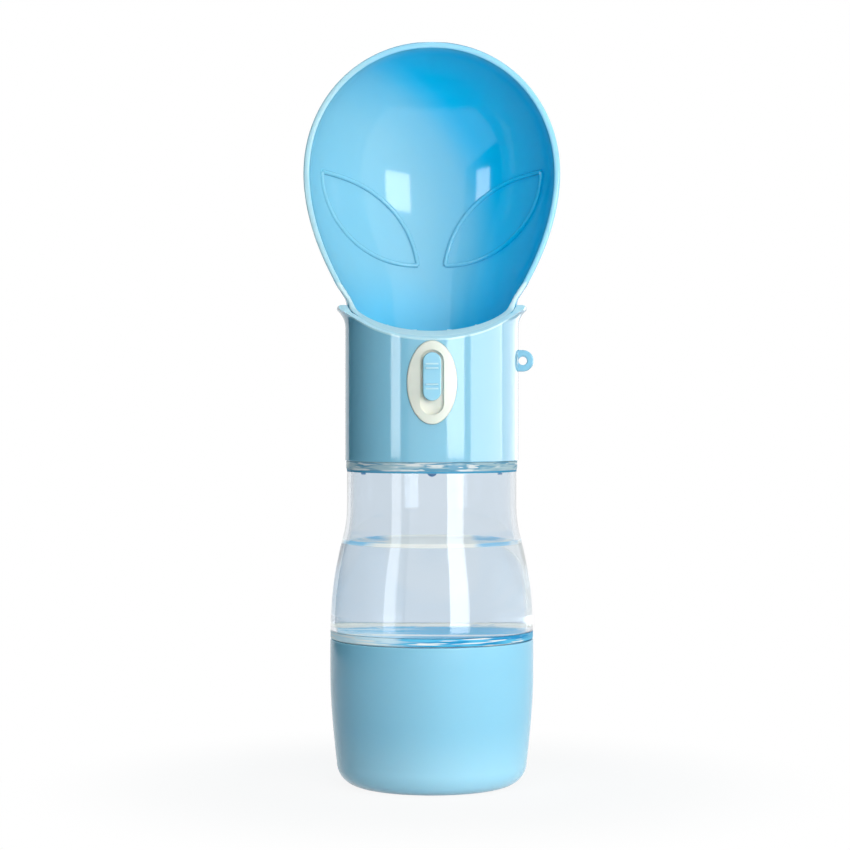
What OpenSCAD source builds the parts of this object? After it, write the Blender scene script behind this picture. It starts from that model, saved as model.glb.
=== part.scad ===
// Travel water bottle for a dog. A scoop bowl stands on a collar, which screws onto a clear
// bottle, and a food cup screws on under the bottle. The switch on the collar slides a hollow
// valve tube, which lets water from the bottle up into the bowl.
// Millimetres, +Z up, origin at the centre of the base, switch and bowl mouth towards -Y.

/* [Food cup] */
// Outside radius of the cup at its widest
cup_r = 37.5; // [36:0.5:42]
// How much narrower the cup is just above its bottom corner
cup_taper = 2.4; // [1:0.1:6]
// Height of the cup's rim above the ground
cup_h = 53.8; // [46:0.2:80]
// Height at which the cup reaches its full radius
cup_swell_z = 40; // [25:1:44]
// Wall of the cup
cup_wall = 2.2; // [1.6:0.1:2.4]
// Height of the inside floor above the ground
cup_floor = 2.6; // [1.8:0.1:5]
// Outside radius of the bottom corner
cup_corner_r = 6; // [4:0.5:9]
// Depth of the hollow under the floor, inside the ring that the cup stands on
foot_recess = 0.8; // [0.3:0.1:1]
// Width of the ring that the cup stands on
foot_w = 4; // [2:0.5:6]

/* [Bottle] */
// How far the bottle's flange stays inside the side of the cup
base_step = 0.1; // [0:0.1:0.5]
// Outside radius of the bottle's upper half
bottle_waist_r = 31.3; // [31:0.1:33]
// Height of the clear body, from its base flange to its shoulder
bottle_h = 62.2; // [55:0.2:100]
// Height of the curved flare above the base flange
flare_h = 46; // [30:1:50]
// Share of the flare's curve that bulges outwards
flare_share = 0.74; // [0.4:0.02:0.9]
// Wall of the clear body
bottle_wall = 2.1; // [1.6:0.1:2.6]
// Thickness of the shoulder under the collar
shoulder_t = 3.3; // [2:0.1:5]
// Outside radius of the neck, without its thread
neck_r = 27.9; // [27.5:0.1:28.2]
// Wall of the neck
neck_wall = 1.6; // [1.2:0.1:1.8]
// Height of the neck above the shoulder
neck_h = 11.8; // [9:0.2:12]

/* [Bottle base] */
// Thickness of the flange that rests over the cup's rim
base_flange_t = 2.9; // [2:0.1:5]
// Thickness of the bottle's floor
base_floor_t = 3.4; // [2:0.1:6]
// Room for the thread between the skirt and the cup's wall
skirt_room = 1.3; // [1:0.1:2]
// Wall of the threaded skirt
skirt_wall = 2.4; // [1.6:0.1:3]
// Length of the threaded skirt
skirt_h = 10.2; // [8:0.2:12]

/* [Collar] */
// Outside radius of the collar
collar_r = 32; // [31.8:0.1:33.5]
// Wall of the collar
collar_wall = 1.8; // [1.6:0.1:1.9]
// Height of the collar, up to the tip of its flare
collar_h = 57.2; // [56:0.1:64]
// Radius of the curve in which the collar's top flares out
flare_curve_r = 8; // [7:0.5:12]
// Outside radius at the tip of the flare
flare_tip_r = 35.1; // [34.4:0.1:35.6]
// Height of the collar at the middle of its front lip
lip_h = 44.2; // [43.6:0.1:46]
// Slope of the lip, rising from front to back, in degrees
lip_slope = 26.8; // [24:0.2:30]
// Height of the ledge that carries the bowl
ledge_h = 42.6; // [42.4:0.1:43]
// Thickness of that ledge
ledge_t = 1.8; // [1:0.1:2.2]
// Number of upright ribs inside the collar
collar_ribs = 6; // [4:2:10]

/* [Strap lug] */
// Outside radius of the lug
lug_r = 4; // [3.4:0.1:4.4]
// Radius of the hole for a strap
lug_hole_r = 1.55; // [1:0.05:1.6]
// Thickness of the lug
lug_t = 4; // [2:0.5:6]
// Distance of the lug's centre from the collar's axis
lug_x = 33.7; // [33.7:0.1:35]
// Distance of the lug behind the collar's widest line
lug_y = 2; // [0:0.5:4]
// Height of the lug's centre above the collar's lower edge
lug_z = 36.8; // [12:0.2:40]

/* [Bowl] */
// Half the width of the bowl's mouth
bowl_r = 47.2; // [42:0.1:54]
// Height of the bowl above the collar
bowl_h = 96.7; // [85:0.1:115]
// Height of the bowl's widest line above the collar
bowl_wide_z = 48.2; // [40:0.1:55]
// Distance of the bowl's back from the axis
bowl_back = 37.3; // [35:0.1:37.5]
// Height of the point where the bowl is deepest, above the collar
bowl_deep_z = 38.5; // [30:0.5:50]
// Distance of the rim's plane in front of the axis
rim_y = 6; // [4:0.5:9]
// Radius that rounds the rim's turn into the front lip
rim_turn_r = 9; // [5:0.5:12]
// Wall of the bowl
bowl_wall = 2.2; // [1.6:0.1:2.6]
// Depth of the bowl's bottom in front of the axis
chin_y = 25.7; // [24.5:0.1:26.5]
// Half width of the bowl's short neck, where it leaves the collar
throat_r = 31.5; // [30.6:0.1:31.6]
// Height of that neck above the collar
throat_rise = 1.4; // [0.4:0.1:3]
// Depth of that neck in the collar, down to where it narrows into the drum
throat_deep = 3; // [2:0.1:4]
// Radius of the curve round the bowl's floor
floor_curve_r = 5; // [3:0.5:5]
// Thickness of the bowl's floor
bowl_floor_t = 2; // [1.6:0.1:2.4]
// Fall of the floor towards the spout
floor_fall = 1; // [0.4:0.1:1.2]

/* [Leaf ribs] */
// Distance of each leaf's outer point from the middle
leaf_out_x = 41; // [38:0.5:42]
// Height of that point above the collar
leaf_out_z = 50.5; // [45:0.5:52]
// Distance of each leaf's inner point from the middle
leaf_in_x = 5.3; // [3:0.1:10]
// Height of that point above the collar
leaf_in_z = 16.7; // [12:0.1:22]
// Radius of a leaf's upper side
leaf_upper_r = 39; // [32:1:60]
// Radius of a leaf's lower side
leaf_lower_r = 35; // [32:1:60]
// Width of the raised line
leaf_w = 1.3; // [0.8:0.1:2]
// Height of the raised line
leaf_t = 0.7; // [0.4:0.1:1.2]

/* [Switch] */
// Width of the oval bezel
bezel_w = 18; // [17:0.5:20]
// Height of the oval bezel
bezel_h = 30; // [29:0.5:30]
// Height of the bezel's centre above the collar's lower edge
bezel_z = 28.6; // [28.4:0.1:28.8]
// How far the bezel stands out of the collar
bezel_proud = 0.6; // [0.3:0.1:1.2]
// Width of the ledge behind the bezel's edge
bezel_ledge = 1.8; // [1.5:0.1:2]
// Width of the recessed track
track_w = 8.6; // [8.2:0.1:9]
// Height of the recessed track
track_h = 23.3; // [22.8:0.1:23.6]
// Thickness of the track's floor
track_floor_t = 1.2; // [0.8:0.1:1.4]
// Depth of the track
track_deep = 2; // [1.6:0.1:2.2]
// Width of the sliding button
button_w = 6.5; // [5.5:0.1:7]
// Height of the sliding button
button_h = 17.3; // [17:0.1:17.6]
// How far the button stands out of the bezel
button_proud = 1.6; // [1:0.1:3]
// Height of the button's centre above the bezel's centre when the valve is shut
button_up = 2.1; // [1.8:0.1:2.2]
// Slide of the switch from shut to open
travel = 4; // [3:0.1:4.4]
// Width of the button's stem
stem_w = 3; // [2.4:0.1:3.2]
// Height of the button's stem
stem_h = 5.2; // [4.4:0.2:5.6]

/* [Inner cap and valve] */
// Thickness of the cap's disc
cap_t = 2.2; // [1.6:0.1:2.6]
// Length of the plug skirt inside the neck, below the cap's disc
plug_h = 15.6; // [12.6:0.2:17]
// Wall of the plug skirt
plug_wall = 1.5; // [1:0.1:2]
// Length of the tabs under the plug skirt
tab_h = 2.4; // [1:0.1:3]
// Width of each tab
tab_w = 3.7; // [2:0.1:6]
// Number of tabs
tab_count = 4; // [2:1:8]
// Outside radius of the valve tube
tube_r = 7; // [6.8:0.1:7.4]
// Wall of the valve tube
tube_wall = 2.2; // [2:0.1:2.6]
// How far the tube stands out of the bowl's floor when the valve is shut
tube_proud = 2.5; // [1.5:0.1:3.5]
// Wall of the guides round the tube
guide_wall = 3.2; // [2:0.1:4]
// Length of the lower guide below the cap's disc
guide_below = 10.2; // [9:0.2:11]
// Length of the lower guide above the cap's disc
guide_above = 2.4; // [1:0.1:2.6]
// Length of the upper guide below the bowl's floor
guide_top = 7.5; // [6.6:0.1:8]
// Height of the windows that let water into the tube
port_h = 3.2; // [2:0.1:3.4]
// Width of each window
port_w = 5; // [3:0.1:5.5]
// Radius of the silicone valve plug
plug_r = 10; // [9.4:0.1:11]
// Thickness of the silicone valve plug
plug_t = 3.8; // [3.4:0.1:5]
// Thickness of the sealing rings
o_ring_t = 1.24; // [1:0.02:1.4]
// Height of the carriage's hub
hub_h = 6.5; // [5:0.1:6.8]
// Wall of the carriage's hub
hub_wall = 3; // [2:0.1:4]

/* [Clearances] */
// Gap between pieces that are fixed to each other
seat_gap = 0.1; // [0.05:0.01:0.15]
// Gap at a face that screws down on a gasket
seam = 0.3; // [0.2:0.05:0.4]
// Radial clearance of the sliding tube in its guides
slide_fit = 0.05; // [0.02:0.01:0.1]
// Gap between pieces that turn or slide past each other
turn_gap = 0.25; // [0.2:0.05:0.4]
// Room for the threads between a threaded piece and its cap
thread_room = 1; // [0.9:0.05:1.2]

/* [Hidden] */

// Heights of the stack, from the ground up
base_z = cup_h + seam;
bell_z = base_z + base_flange_t;
shoulder_z = bell_z + bottle_h;
neck_top = shoulder_z + neck_h;
collar_z = shoulder_z + seam;
collar_top = collar_z + collar_h;
lip_z = collar_z + lip_h;
ledge_z = collar_z + ledge_h;
bowl_top = collar_top + bowl_h;
bowl_wide = collar_top + bowl_wide_z;
bowl_deep = collar_top + bowl_deep_z;
switch_z = collar_z + bezel_z;
button_z = switch_z + button_up;

// Radii that fit in one another
cup_base_r = cup_r - cup_taper;
bottle_base_r = cup_r - base_step;
skirt_r = cup_r - cup_wall - skirt_room;
gasket_sink = 0.7;
gasket_out_r = cup_r - cup_wall + gasket_sink;
collar_in_r = collar_r - collar_wall;
drum_r = collar_in_r - seat_gap;
neck_in_r = neck_r - neck_wall;
cap_skirt_r = neck_r + thread_room;
cap_r = collar_in_r - seat_gap;
plug_skirt_r = neck_in_r - turn_gap;
bore_r = tube_r + slide_fit;
tube_in_r = tube_r - tube_wall;
guide_r = bore_r + guide_wall;

// The inner cap and the valve
gasket_t = 1.1;
cap_z = neck_top + gasket_t + 2 * seat_gap;
cap_top = cap_z + cap_t;
seat_z = cap_z - guide_below;
guide_top_z = cap_top + guide_above;
floor_z = ledge_z - bowl_floor_t;
upper_guide_z = floor_z - guide_top;
tube_top = ledge_z + tube_proud;
flange_t = 1.4;
hub_z = guide_top_z + travel + 2 * turn_gap + flange_t + 0.3;
hub_top = hub_z + hub_h;
clip_t = 0.8;
clip_depth = 0.9;
o_ring_sink = 1.25;
groove_w = o_ring_t + 0.3;
o_ring_r = tube_r - o_ring_t / 2 + slide_fit / 2;
lower_ring_z = guide_top_z - 2.5;
upper_ring_z = floor_z - 1.8;

// The switch
window_w = bezel_w - 2 * bezel_ledge;
window_h = bezel_h - 2 * bezel_ledge;
bezel_seat = 0.9;
track_floor_y = collar_r + bezel_proud - track_deep;
bezel_back_y = track_floor_y - track_floor_t;
plate_t = 1.6;
plate_y = bezel_back_y - turn_gap;
plate_h = 9;
plate_w = 8;
arm_w = 1.6;
screw_r = 1;
screw_head_r = 1.8;
screw_head_t = 1.2;
screw_l = 6;

// Rises above the collar in which the bowl's widest line comes forward and its chin runs out,
// and the height over which its neck narrows into the drum
mid_rise = 10;
chin_rise = 12;
throat_taper = 2;

facets = 72;
rows = 13;
big = 200;

// Points of an arc round [x, y], from angle a to angle b
function arc(x, y, r, a, b, n = 10) =
    [for (i = [0:n]) let (t = a + (b - a) * i / n) [x + r * cos(t), y + r * sin(t)]];

// The ogee of the bottle's side: two arcs with a common tangent. inset moves it inwards.
flare_in = bottle_base_r - bottle_waist_r;
ogee_a = 2 * atan(flare_in / flare_h);
ogee_r = flare_h / sin(ogee_a);
bulge_r = ogee_r * flare_share;
hollow_r = ogee_r - bulge_r;
function ogee(inset) = concat(
    arc(bottle_base_r - bulge_r, bell_z, bulge_r - inset, 0, ogee_a, 12),
    arc(bottle_waist_r + hollow_r, bell_z + flare_h, hollow_r + inset, 180 + ogee_a, 180, 8));

// The side of the food cup above its corner, swelling to its full radius
function cup_side(inset, n = 8) = [for (i = [0:n])
    let (z = cup_corner_r + (cup_swell_z - cup_corner_r) * i / n)
    [cup_r - inset - cup_taper * pow(1 - i / n, 1.6), z]];

// Height of the sloping lip at the distance y from the axis, where -y is the front
function lip(y) = lip_z + tan(lip_slope) * (y + collar_r);

// Half width, back and front of the bowl at the height z. inset moves them inwards.
round_n = 2.05;
function cap_share(z, mid, top) = pow(max(0, 1 - pow((z - mid) / (top - mid), round_n)), 1 / round_n);
function below_share(z, mid) = pow((mid - z) / (mid - collar_top - throat_rise), 1.88);
function throat(z) = throat_r - (throat_r - drum_r) * ramp(z, collar_top - throat_deep, collar_top - throat_deep - throat_taper);
function bowl_side(z, inset) = z > bowl_wide
    ? (bowl_r - inset) * cap_share(z, bowl_wide, bowl_top - inset)
    : z > collar_top + throat_rise
    ? bowl_r - (bowl_r - throat_r) * below_share(z, bowl_wide) - inset
    : throat(z) - inset;
function bowl_rear(z, inset) = z > bowl_deep
    ? (bowl_back + rim_y - inset) * cap_share(z, bowl_deep, bowl_top - inset) - rim_y
    : z > collar_top + throat_rise
    ? bowl_back - (bowl_back - throat_r) * below_share(z, bowl_deep) - inset
    : throat(z) - inset;
function ramp(z, a, b) = min(1, max(0, (z - a) / (b - a)));
function bowl_mid(z) = -rim_y * ramp(z, collar_top, collar_top + mid_rise);
function bowl_fore(z, chin) = bowl_mid(z) - chin * (1 - 0.9 * ramp(z, collar_top, collar_top + chin_rise));

// One level ring of the bowl: half ellipses behind and in front of its widest line
function bowl_ring(z, inset, chin, shrink = 0) = let (
        w = bowl_side(z, inset) - shrink, mid = bowl_mid(z),
        rear = bowl_rear(z, inset) - shrink - mid, fore = mid - bowl_fore(z, chin) - shrink)
    [for (i = [0:facets - 1]) let (a = 360 * i / facets)
        [w * cos(a), mid + (sin(a) > 0 ? rear : fore) * sin(a), z]];

// Closed solid through level rings of equal length, which ends in a point above the last one
module loft(rings, tip) {
    n = len(rings[0]);
    last = len(rings) - 1;
    points = concat([for (ring = rings) each ring], [tip]);
    sides = [for (k = [0:last - 1], i = [0:n - 1], half = [0, 1]) let (j = (i + 1) % n)
        half == 0 ? [k * n + i, (k + 1) * n + i, k * n + j]
                  : [k * n + j, (k + 1) * n + i, (k + 1) * n + j]];
    crown = [for (i = [0:n - 1]) [last * n + i, len(points) - 1, last * n + (i + 1) % n]];
    polyhedron(points, concat([[for (i = [0:n - 1]) i]], sides, crown), convexity = 6);
}

// Heights of the rings above z: evenly spaced up to the widest line, then closing in on the tip
function ring_heights(z, tip) = concat(
    [for (i = [1:rows]) z + (bowl_wide - z) * i / rows],
    [for (i = [1:rows - 2]) bowl_wide + (tip - bowl_wide) * sin(90 * i / (rows - 1))]);

module bowl_outside() {
    heights = concat([ledge_z], ring_heights(ledge_z, bowl_top));
    loft([for (z = heights) bowl_ring(z, 0, drum_r)], [0, -rim_y, bowl_top]);
}

// The inside is rounded into the floor, and inset more to leave raised lines on the wall
module bowl_inside(inset) {
    curve_top = ledge_z + floor_curve_r;
    bottom = [for (a = [90:-22.5:22.5]) [ledge_z + floor_curve_r * (1 - sin(a)), floor_curve_r * (1 - cos(a))]];
    heights = concat([curve_top], ring_heights(curve_top, bowl_top - inset));
    loft(concat([bowl_ring(ledge_z - 1, inset, chin_y, floor_curve_r)],
            [for (b = bottom) bowl_ring(b[0], inset, chin_y, b[1])],
            [for (z = heights) bowl_ring(z, inset, chin_y)]),
        [0, -rim_y, bowl_top - inset]);
}

// What is cut away in front of the mouth: over the sloping lip and in front of the upright rim
module mouth_cut() {
    turn_y = -rim_y - rim_turn_r;
    turn_z = lip(turn_y) + rim_turn_r / cos(lip_slope);
    rotate([90, 0, 90])
        linear_extrude(height = big, center = true)
        polygon(concat([[-big, bowl_top + 5], [-big, lip(-big)]],
            arc(turn_y, turn_z, rim_turn_r, lip_slope - 90, 0, 6), [[-rim_y, bowl_top + 5]]));
}

// One leaf outline, seen from the front: two arcs that meet at its points
function turn_centre(p, q, r) = let (d = q - p, c = norm(d), n = [-d[1], d[0]] / c)
    (p + q) / 2 - n * sqrt(r * r - c * c / 4);
module leaf(inset) {
    outer = [leaf_out_x, collar_top + leaf_out_z];
    inner = [leaf_in_x, collar_top + leaf_in_z];
    intersection() {
        translate(turn_centre(inner, outer, leaf_upper_r)) circle(leaf_upper_r - inset, $fn = 120);
        translate(turn_centre(outer, inner, leaf_lower_r)) circle(leaf_lower_r - inset, $fn = 120);
    }
}

// A ring or tube: inside radius, outside radius, lower and upper height
module tube(r_in, r_out, z0, z1) {
    translate([0, 0, z0]) difference() {
        cylinder(r = r_out, h = z1 - z0);
        translate([0, 0, -1]) cylinder(r = r_in, h = z1 - z0 + 2);
    }
}

// Upright oval and stadium, seen from the front, pushed from y0 back to y1
module oval(w, h, y0, y1) {
    translate([0, y1, switch_z]) rotate([90, 0, 0])
        linear_extrude(height = y1 - y0)
        polygon([for (i = [0:59]) [w / 2 * cos(6 * i), h / 2 * sin(6 * i)]]);
}
module stadium(w, h, z, y0, y1) {
    translate([0, y1, z]) rotate([90, 0, 0])
        linear_extrude(height = y1 - y0) {
            square([w, h - w], center = true);
            for (side = [-1, 1]) translate([0, side * (h - w) / 2]) circle(w / 2, $fn = 48);
        }
}

module food_cup() {
    inner_corner = cup_corner_r - cup_wall;
    side = cup_side(0);
    foot_in = cup_base_r - cup_corner_r - foot_w;
    color([0.52, 0.79, 0.92]) difference() {
        rotate_extrude($fn = 96) polygon(concat(
            [[0, foot_recess], [foot_in - foot_recess, foot_recess], [foot_in, 0]],
            arc(cup_base_r - cup_corner_r, cup_corner_r, cup_corner_r, -90, 0, 8),
            [for (i = [1:len(side) - 1]) side[i]],
            [[cup_r, cup_h - 0.4], [cup_r - 0.4, cup_h], [0, cup_h]]));
        rotate_extrude($fn = 96) polygon(concat(
            [[0, cup_floor]],
            arc(cup_base_r - cup_wall - inner_corner, cup_floor + inner_corner, inner_corner, -90, 0, 6),
            [for (p = cup_side(cup_wall)) if (p[1] > cup_floor + inner_corner) p],
            [[cup_r - cup_wall, cup_h + 1], [0, cup_h + 1]]));
        // Rebate in which the gasket lies
        tube(skirt_r, gasket_out_r + seat_gap, cup_h - gasket_t, cup_h + 1);
    }
}

module cup_gasket() {
    color([0.9, 0.92, 0.92]) tube(skirt_r + seat_gap, gasket_out_r, cup_h - gasket_t + seat_gap, base_z);
}

module bottle_base() {
    plug_in = bottle_base_r - bottle_wall - seat_gap;
    skirt_in = skirt_r - skirt_wall;
    color([0.8, 0.88, 0.93, 0.5]) rotate_extrude($fn = 96) polygon(concat(
        [[0, bell_z], [skirt_in - 1, bell_z], [skirt_in, bell_z - 1], [skirt_in, base_z - skirt_h],
         [skirt_r - 0.6, base_z - skirt_h], [skirt_r, base_z - skirt_h + 0.6], [skirt_r, base_z]],
        [[bottle_base_r - 0.3, base_z], [bottle_base_r, base_z + 0.3], [bottle_base_r, bell_z]],
        [[plug_in, bell_z], [plug_in, bell_z + base_floor_t], [0, bell_z + base_floor_t]]));
}

module bottle() {
    inner_top = shoulder_z - shoulder_t;
    waist_in = bottle_waist_r - bottle_wall;
    round_r = 1.5;
    color([0.8, 0.88, 0.93, 0.4]) rotate_extrude($fn = 96) polygon(concat(
        ogee(0),
        [[bottle_waist_r, inner_top], [bottle_waist_r + 0.3, inner_top + 1],
         [bottle_waist_r + 0.3, shoulder_z - 0.3], [bottle_waist_r, shoulder_z]],
        [[neck_r, shoulder_z], [neck_r, neck_top - 0.4], [neck_r - 0.4, neck_top], [neck_in_r, neck_top]],
        [[neck_in_r, inner_top]],
        arc(waist_in - round_r, inner_top - round_r, round_r, 90, 0, 4),
        [let (o = ogee(bottle_wall)) for (i = [len(o) - 1:-1:0]) o[i]]));
}

module neck_gasket() {
    color([0.93, 0.93, 0.93])
        tube(plug_skirt_r + seat_gap, cap_skirt_r - seat_gap, neck_top + seat_gap / 2, cap_z - seat_gap / 2);
}

module inner_cap() {
    plug_in = plug_skirt_r - plug_wall;
    color([0.45, 0.75, 0.9]) difference() {
        union() {
            tube(bore_r, cap_r, cap_z, cap_top);
            tube(cap_skirt_r, cap_r, collar_z + 0.5, cap_z);
            tube(plug_in, plug_skirt_r, cap_z - plug_h, cap_z);
            tube(bore_r, guide_r, seat_z, guide_top_z);
            // Tabs under the plug skirt, round at the bottom
            intersection() {
                tube(plug_in, plug_skirt_r, cap_z - plug_h - tab_h, cap_z - plug_h);
                for (i = [0:tab_count - 1]) rotate(90 + 360 / tab_count * i)
                    translate([0, 0, cap_z - plug_h - tab_h + tab_w / 2]) {
                        rotate([0, 90, 0]) cylinder(r = tab_w / 2, h = cap_r, $fn = 32);
                        translate([0, -tab_w / 2, 0]) cube([cap_r, tab_w, tab_w]);
                    }
            }
            // Webs that brace the guide against the skirt
            for (i = [0:3]) rotate(45 + 90 * i)
                translate([guide_r - 0.5, -0.6, cap_z - 6]) cube([plug_in - guide_r + 1, 1.2, 6]);
        }
    }
}

// Outside and inside of the collar, with the flare at its top
module collar() {
    tip_r = 1.25;
    tip_blend = 0.9;
    flare_a = acos(1 - (flare_tip_r - tip_r - collar_r + tip_blend) / flare_curve_r);
    flare_z = collar_top - tip_r - flare_curve_r * sin(flare_a) - tip_blend;
    throat_z = collar_top - throat_deep;
    color([0.52, 0.79, 0.92]) difference() {
        union() {
            difference() {
                union() {
                    rotate_extrude($fn = 96) polygon(concat(
                        [[0, collar_z], [collar_r - 0.5, collar_z], [collar_r, collar_z + 0.5]],
                        arc(collar_r + flare_curve_r, flare_z, flare_curve_r, 180, 180 - flare_a, 8),
                        arc(flare_tip_r - tip_r, collar_top - tip_r, tip_r, -30, 90, 6),
                        [[0, collar_top]]));
                    translate([lug_x, lug_y + lug_t / 2, collar_z + lug_z]) rotate([90, 0, 0]) {
                        cylinder(r = lug_r, h = lug_t, $fn = 48);
                        translate([collar_in_r - lug_x, -lug_r, 0]) cube([lug_x - collar_in_r, 2 * lug_r, lug_t]);
                    }
                }
                rotate_extrude($fn = 96) polygon([[0, collar_z - 1], [collar_in_r, collar_z - 1],
                    [collar_in_r, throat_z - throat_taper], [throat_r + 2 * seat_gap, throat_z],
                    [throat_r + 2 * seat_gap, collar_top + 1], [0, collar_top + 1]]);
            }
            // Ledge for the bowl, and ribs that stop the inner cap
            tube(collar_in_r - ledge_t, collar_in_r + 0.2, ledge_z - ledge_t, ledge_z);
            for (i = [0:collar_ribs - 1]) rotate(90 + (i - (collar_ribs - 1) / 2) * 240 / (collar_ribs - 1))
                translate([collar_in_r - 1.2, -0.6, cap_top]) cube([1.5, 1.2, ledge_z - ledge_t - cap_top + 0.1]);
        }
        // The sloping lip
        translate([0, -collar_r, lip_z]) rotate([lip_slope, 0, 0])
            translate([-big / 2, -big / 2, 0]) cube([big, big, big / 2]);
        // Window and seat of the bezel
        oval(window_w + 2 * seat_gap, window_h + 2 * seat_gap, -collar_r - 5, -collar_in_r + ledge_t + 1);
        difference() {
            oval(bezel_w + 2 * seat_gap, bezel_h + 2 * seat_gap, -collar_r - 5, -collar_r / 2);
            translate([0, 0, collar_z]) cylinder(r = collar_r - bezel_seat, h = collar_h, $fn = 96);
        }
        // Hole of the strap lug
        translate([lug_x, lug_y + lug_t, collar_z + lug_z]) rotate([90, 0, 0])
            cylinder(r = lug_hole_r, h = 2 * lug_t, $fn = 32);
    }
}

module bowl() {
    color([0.45, 0.76, 0.92]) union() {
        // The scoop. resize() gives the finished mouth its exact width.
        resize([2 * bowl_r, 0, 0]) difference() {
            union() {
                difference() {
                    bowl_outside();
                    bowl_inside(bowl_wall);
                }
                for (side = [0, 1]) mirror([side, 0, 0]) intersection() {
                    translate([0, bowl_back, 0]) rotate([90, 0, 0])
                        linear_extrude(height = bowl_back + rim_y)
                        difference() {
                            leaf(0);
                            leaf(leaf_w);
                        }
                    difference() {
                        bowl_inside(bowl_wall - 0.2);
                        bowl_inside(bowl_wall + leaf_t);
                    }
                }
            }
            mouth_cut();
        }
        // The floor, which falls to the spout, and the guide and webs under it
        difference() {
            union() {
                floor_r = collar_in_r - ledge_t - 2;
                rotate_extrude($fn = 96) polygon([[bore_r, upper_guide_z], [guide_r, upper_guide_z],
                    [guide_r, floor_z], [floor_r, floor_z], [floor_r, ledge_z],
                    [drum_r - floor_curve_r - 4.5, ledge_z],
                    [guide_r, ledge_z - floor_fall], [bore_r, ledge_z - floor_fall]]);
                for (i = [0:3]) rotate(45 + 90 * i)
                    translate([guide_r - 0.5, -0.6, floor_z - 3]) cube([floor_r - guide_r - 1, 1.2, 3.1]);
            }
        }
    }
}

module switch_bezel() {
    color([0.88, 0.87, 0.8]) difference() {
        union() {
            intersection() {
                oval(bezel_w, bezel_h, -collar_r - 5, -collar_r / 2);
                tube(collar_r - bezel_seat + seat_gap, collar_r + bezel_proud, switch_z - bezel_h, switch_z + bezel_h);
            }
            intersection() {
                oval(window_w, window_h, -collar_r, -bezel_back_y);
                tube(collar_r - 12, collar_r, switch_z - bezel_h, switch_z + bezel_h);
            }
        }
        stadium(track_w, track_h, switch_z, -collar_r - 5, -track_floor_y);
        translate([0, -collar_r, button_z - 1 - travel / 2])
            cube([stem_w + 2 * turn_gap, collar_r, stem_h + travel + 2 * turn_gap], center = true);
    }
}

module switch_button() {
    face_y = collar_r + bezel_proud + button_proud;
    valley_r = 14;
    color([0.4, 0.72, 0.88]) difference() {
        union() {
            difference() {
                stadium(button_w, button_h, button_z, -face_y, -track_floor_y - turn_gap);
                // Thumb valley
                translate([-button_w, -face_y - valley_r + 0.8, button_z]) rotate([0, 90, 0])
                    cylinder(r = valley_r, h = 2 * button_w, $fn = 96);
            }
            // Grip ribs
            for (z = [-4.4, -2.9, 2.9, 4.4])
                translate([-button_w * 0.36, -face_y + 0.1, button_z + z - 0.35]) cube([button_w * 0.72, 1.5, 0.7]);
            translate([-stem_w / 2, -track_floor_y - 0.5, button_z - 1 - stem_h / 2])
                cube([stem_w, track_floor_y + 0.5 - plate_y - seat_gap, stem_h]);
        }
        translate([0, -plate_y + 1, button_z - 1]) rotate([90, 0, 0])
            cylinder(r = screw_r + 0.02, h = screw_l - plate_t + 1.2, $fn = 32);
    }
}

module button_screw() {
    color([0.75, 0.75, 0.77]) translate([0, -plate_y + plate_t, button_z - 1]) rotate([90, 0, 0]) difference() {
        union() {
            cylinder(r = screw_r, h = screw_l - 0.4, $fn = 32);
            translate([0, 0, -screw_head_t]) cylinder(r = screw_head_r, h = screw_head_t, $fn = 32);
        }
        // Cross slot in the head
        for (a = [0, 90]) rotate(a) translate([-1.2, -0.2, -screw_head_t - 0.1]) cube([2.4, 0.4, 0.7]);
    }
}

module carriage() {
    hub_r = tube_r + hub_wall;
    tail_y = collar_in_r - 5;
    plate_z = button_z - 1 - plate_h / 2;
    color([0.88, 0.87, 0.8]) difference() {
        union() {
            tube(bore_r, hub_r, hub_z, hub_top);
            for (side = [-1, 1]) translate([side * (plate_w - arm_w) / 2 - arm_w / 2, -plate_y + 0.5, hub_z])
                cube([arm_w, plate_y - sqrt(hub_r * hub_r - plate_w * plate_w / 4) + 0.5, hub_h]);
            translate([-plate_w / 2, -plate_y, plate_z]) cube([plate_w, plate_t, plate_h]);
            // Tail that carries the detent spring
            translate([-2, hub_r - 1, hub_z]) cube([4, tail_y - hub_r + 1, hub_h]);
        }
        translate([0, -plate_y + plate_t + 1, button_z - 1]) rotate([90, 0, 0])
            cylinder(r = screw_r + 0.02, h = plate_t + 2, $fn = 32);
    }
}

module valve_tube() {
    stop_z = seat_z - 0.3;
    color([0.92, 0.94, 0.95]) difference() {
        union() {
            translate([0, 0, stop_z - plug_t + 0.6]) cylinder(r = tube_r, h = tube_top - stop_z + plug_t - 0.6, $fn = 64);
            translate([0, 0, stop_z - plug_t + 0.6]) cylinder(r = tube_r + 1.6, h = 1.2, $fn = 64);
            translate([0, 0, hub_z - flange_t]) cylinder(r = tube_r + 1.4, h = flange_t, $fn = 64);
        }
        translate([0, 0, seat_z + 0.2]) cylinder(r = tube_in_r, h = tube_top, $fn = 64);
        for (a = [0, 90]) rotate(a)
            translate([-tube_r - 1, -port_w / 2, seat_z + 0.2]) cube([2 * tube_r + 2, port_w, port_h]);
        for (z = [lower_ring_z, upper_ring_z]) tube(tube_r - o_ring_sink, tube_r + 1, z - groove_w / 2, z + groove_w / 2);
        tube(tube_r - clip_depth, tube_r + 1, hub_top, hub_top + clip_t + 0.1);
    }
}

module o_ring(z) {
    color([0.15, 0.15, 0.16]) translate([0, 0, z]) rotate_extrude($fn = 64)
        translate([o_ring_r, 0]) circle(o_ring_t / 2, $fn = 24);
}
module lower_o_ring() { o_ring(lower_ring_z); }
module upper_o_ring() { o_ring(upper_ring_z); }

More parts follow.
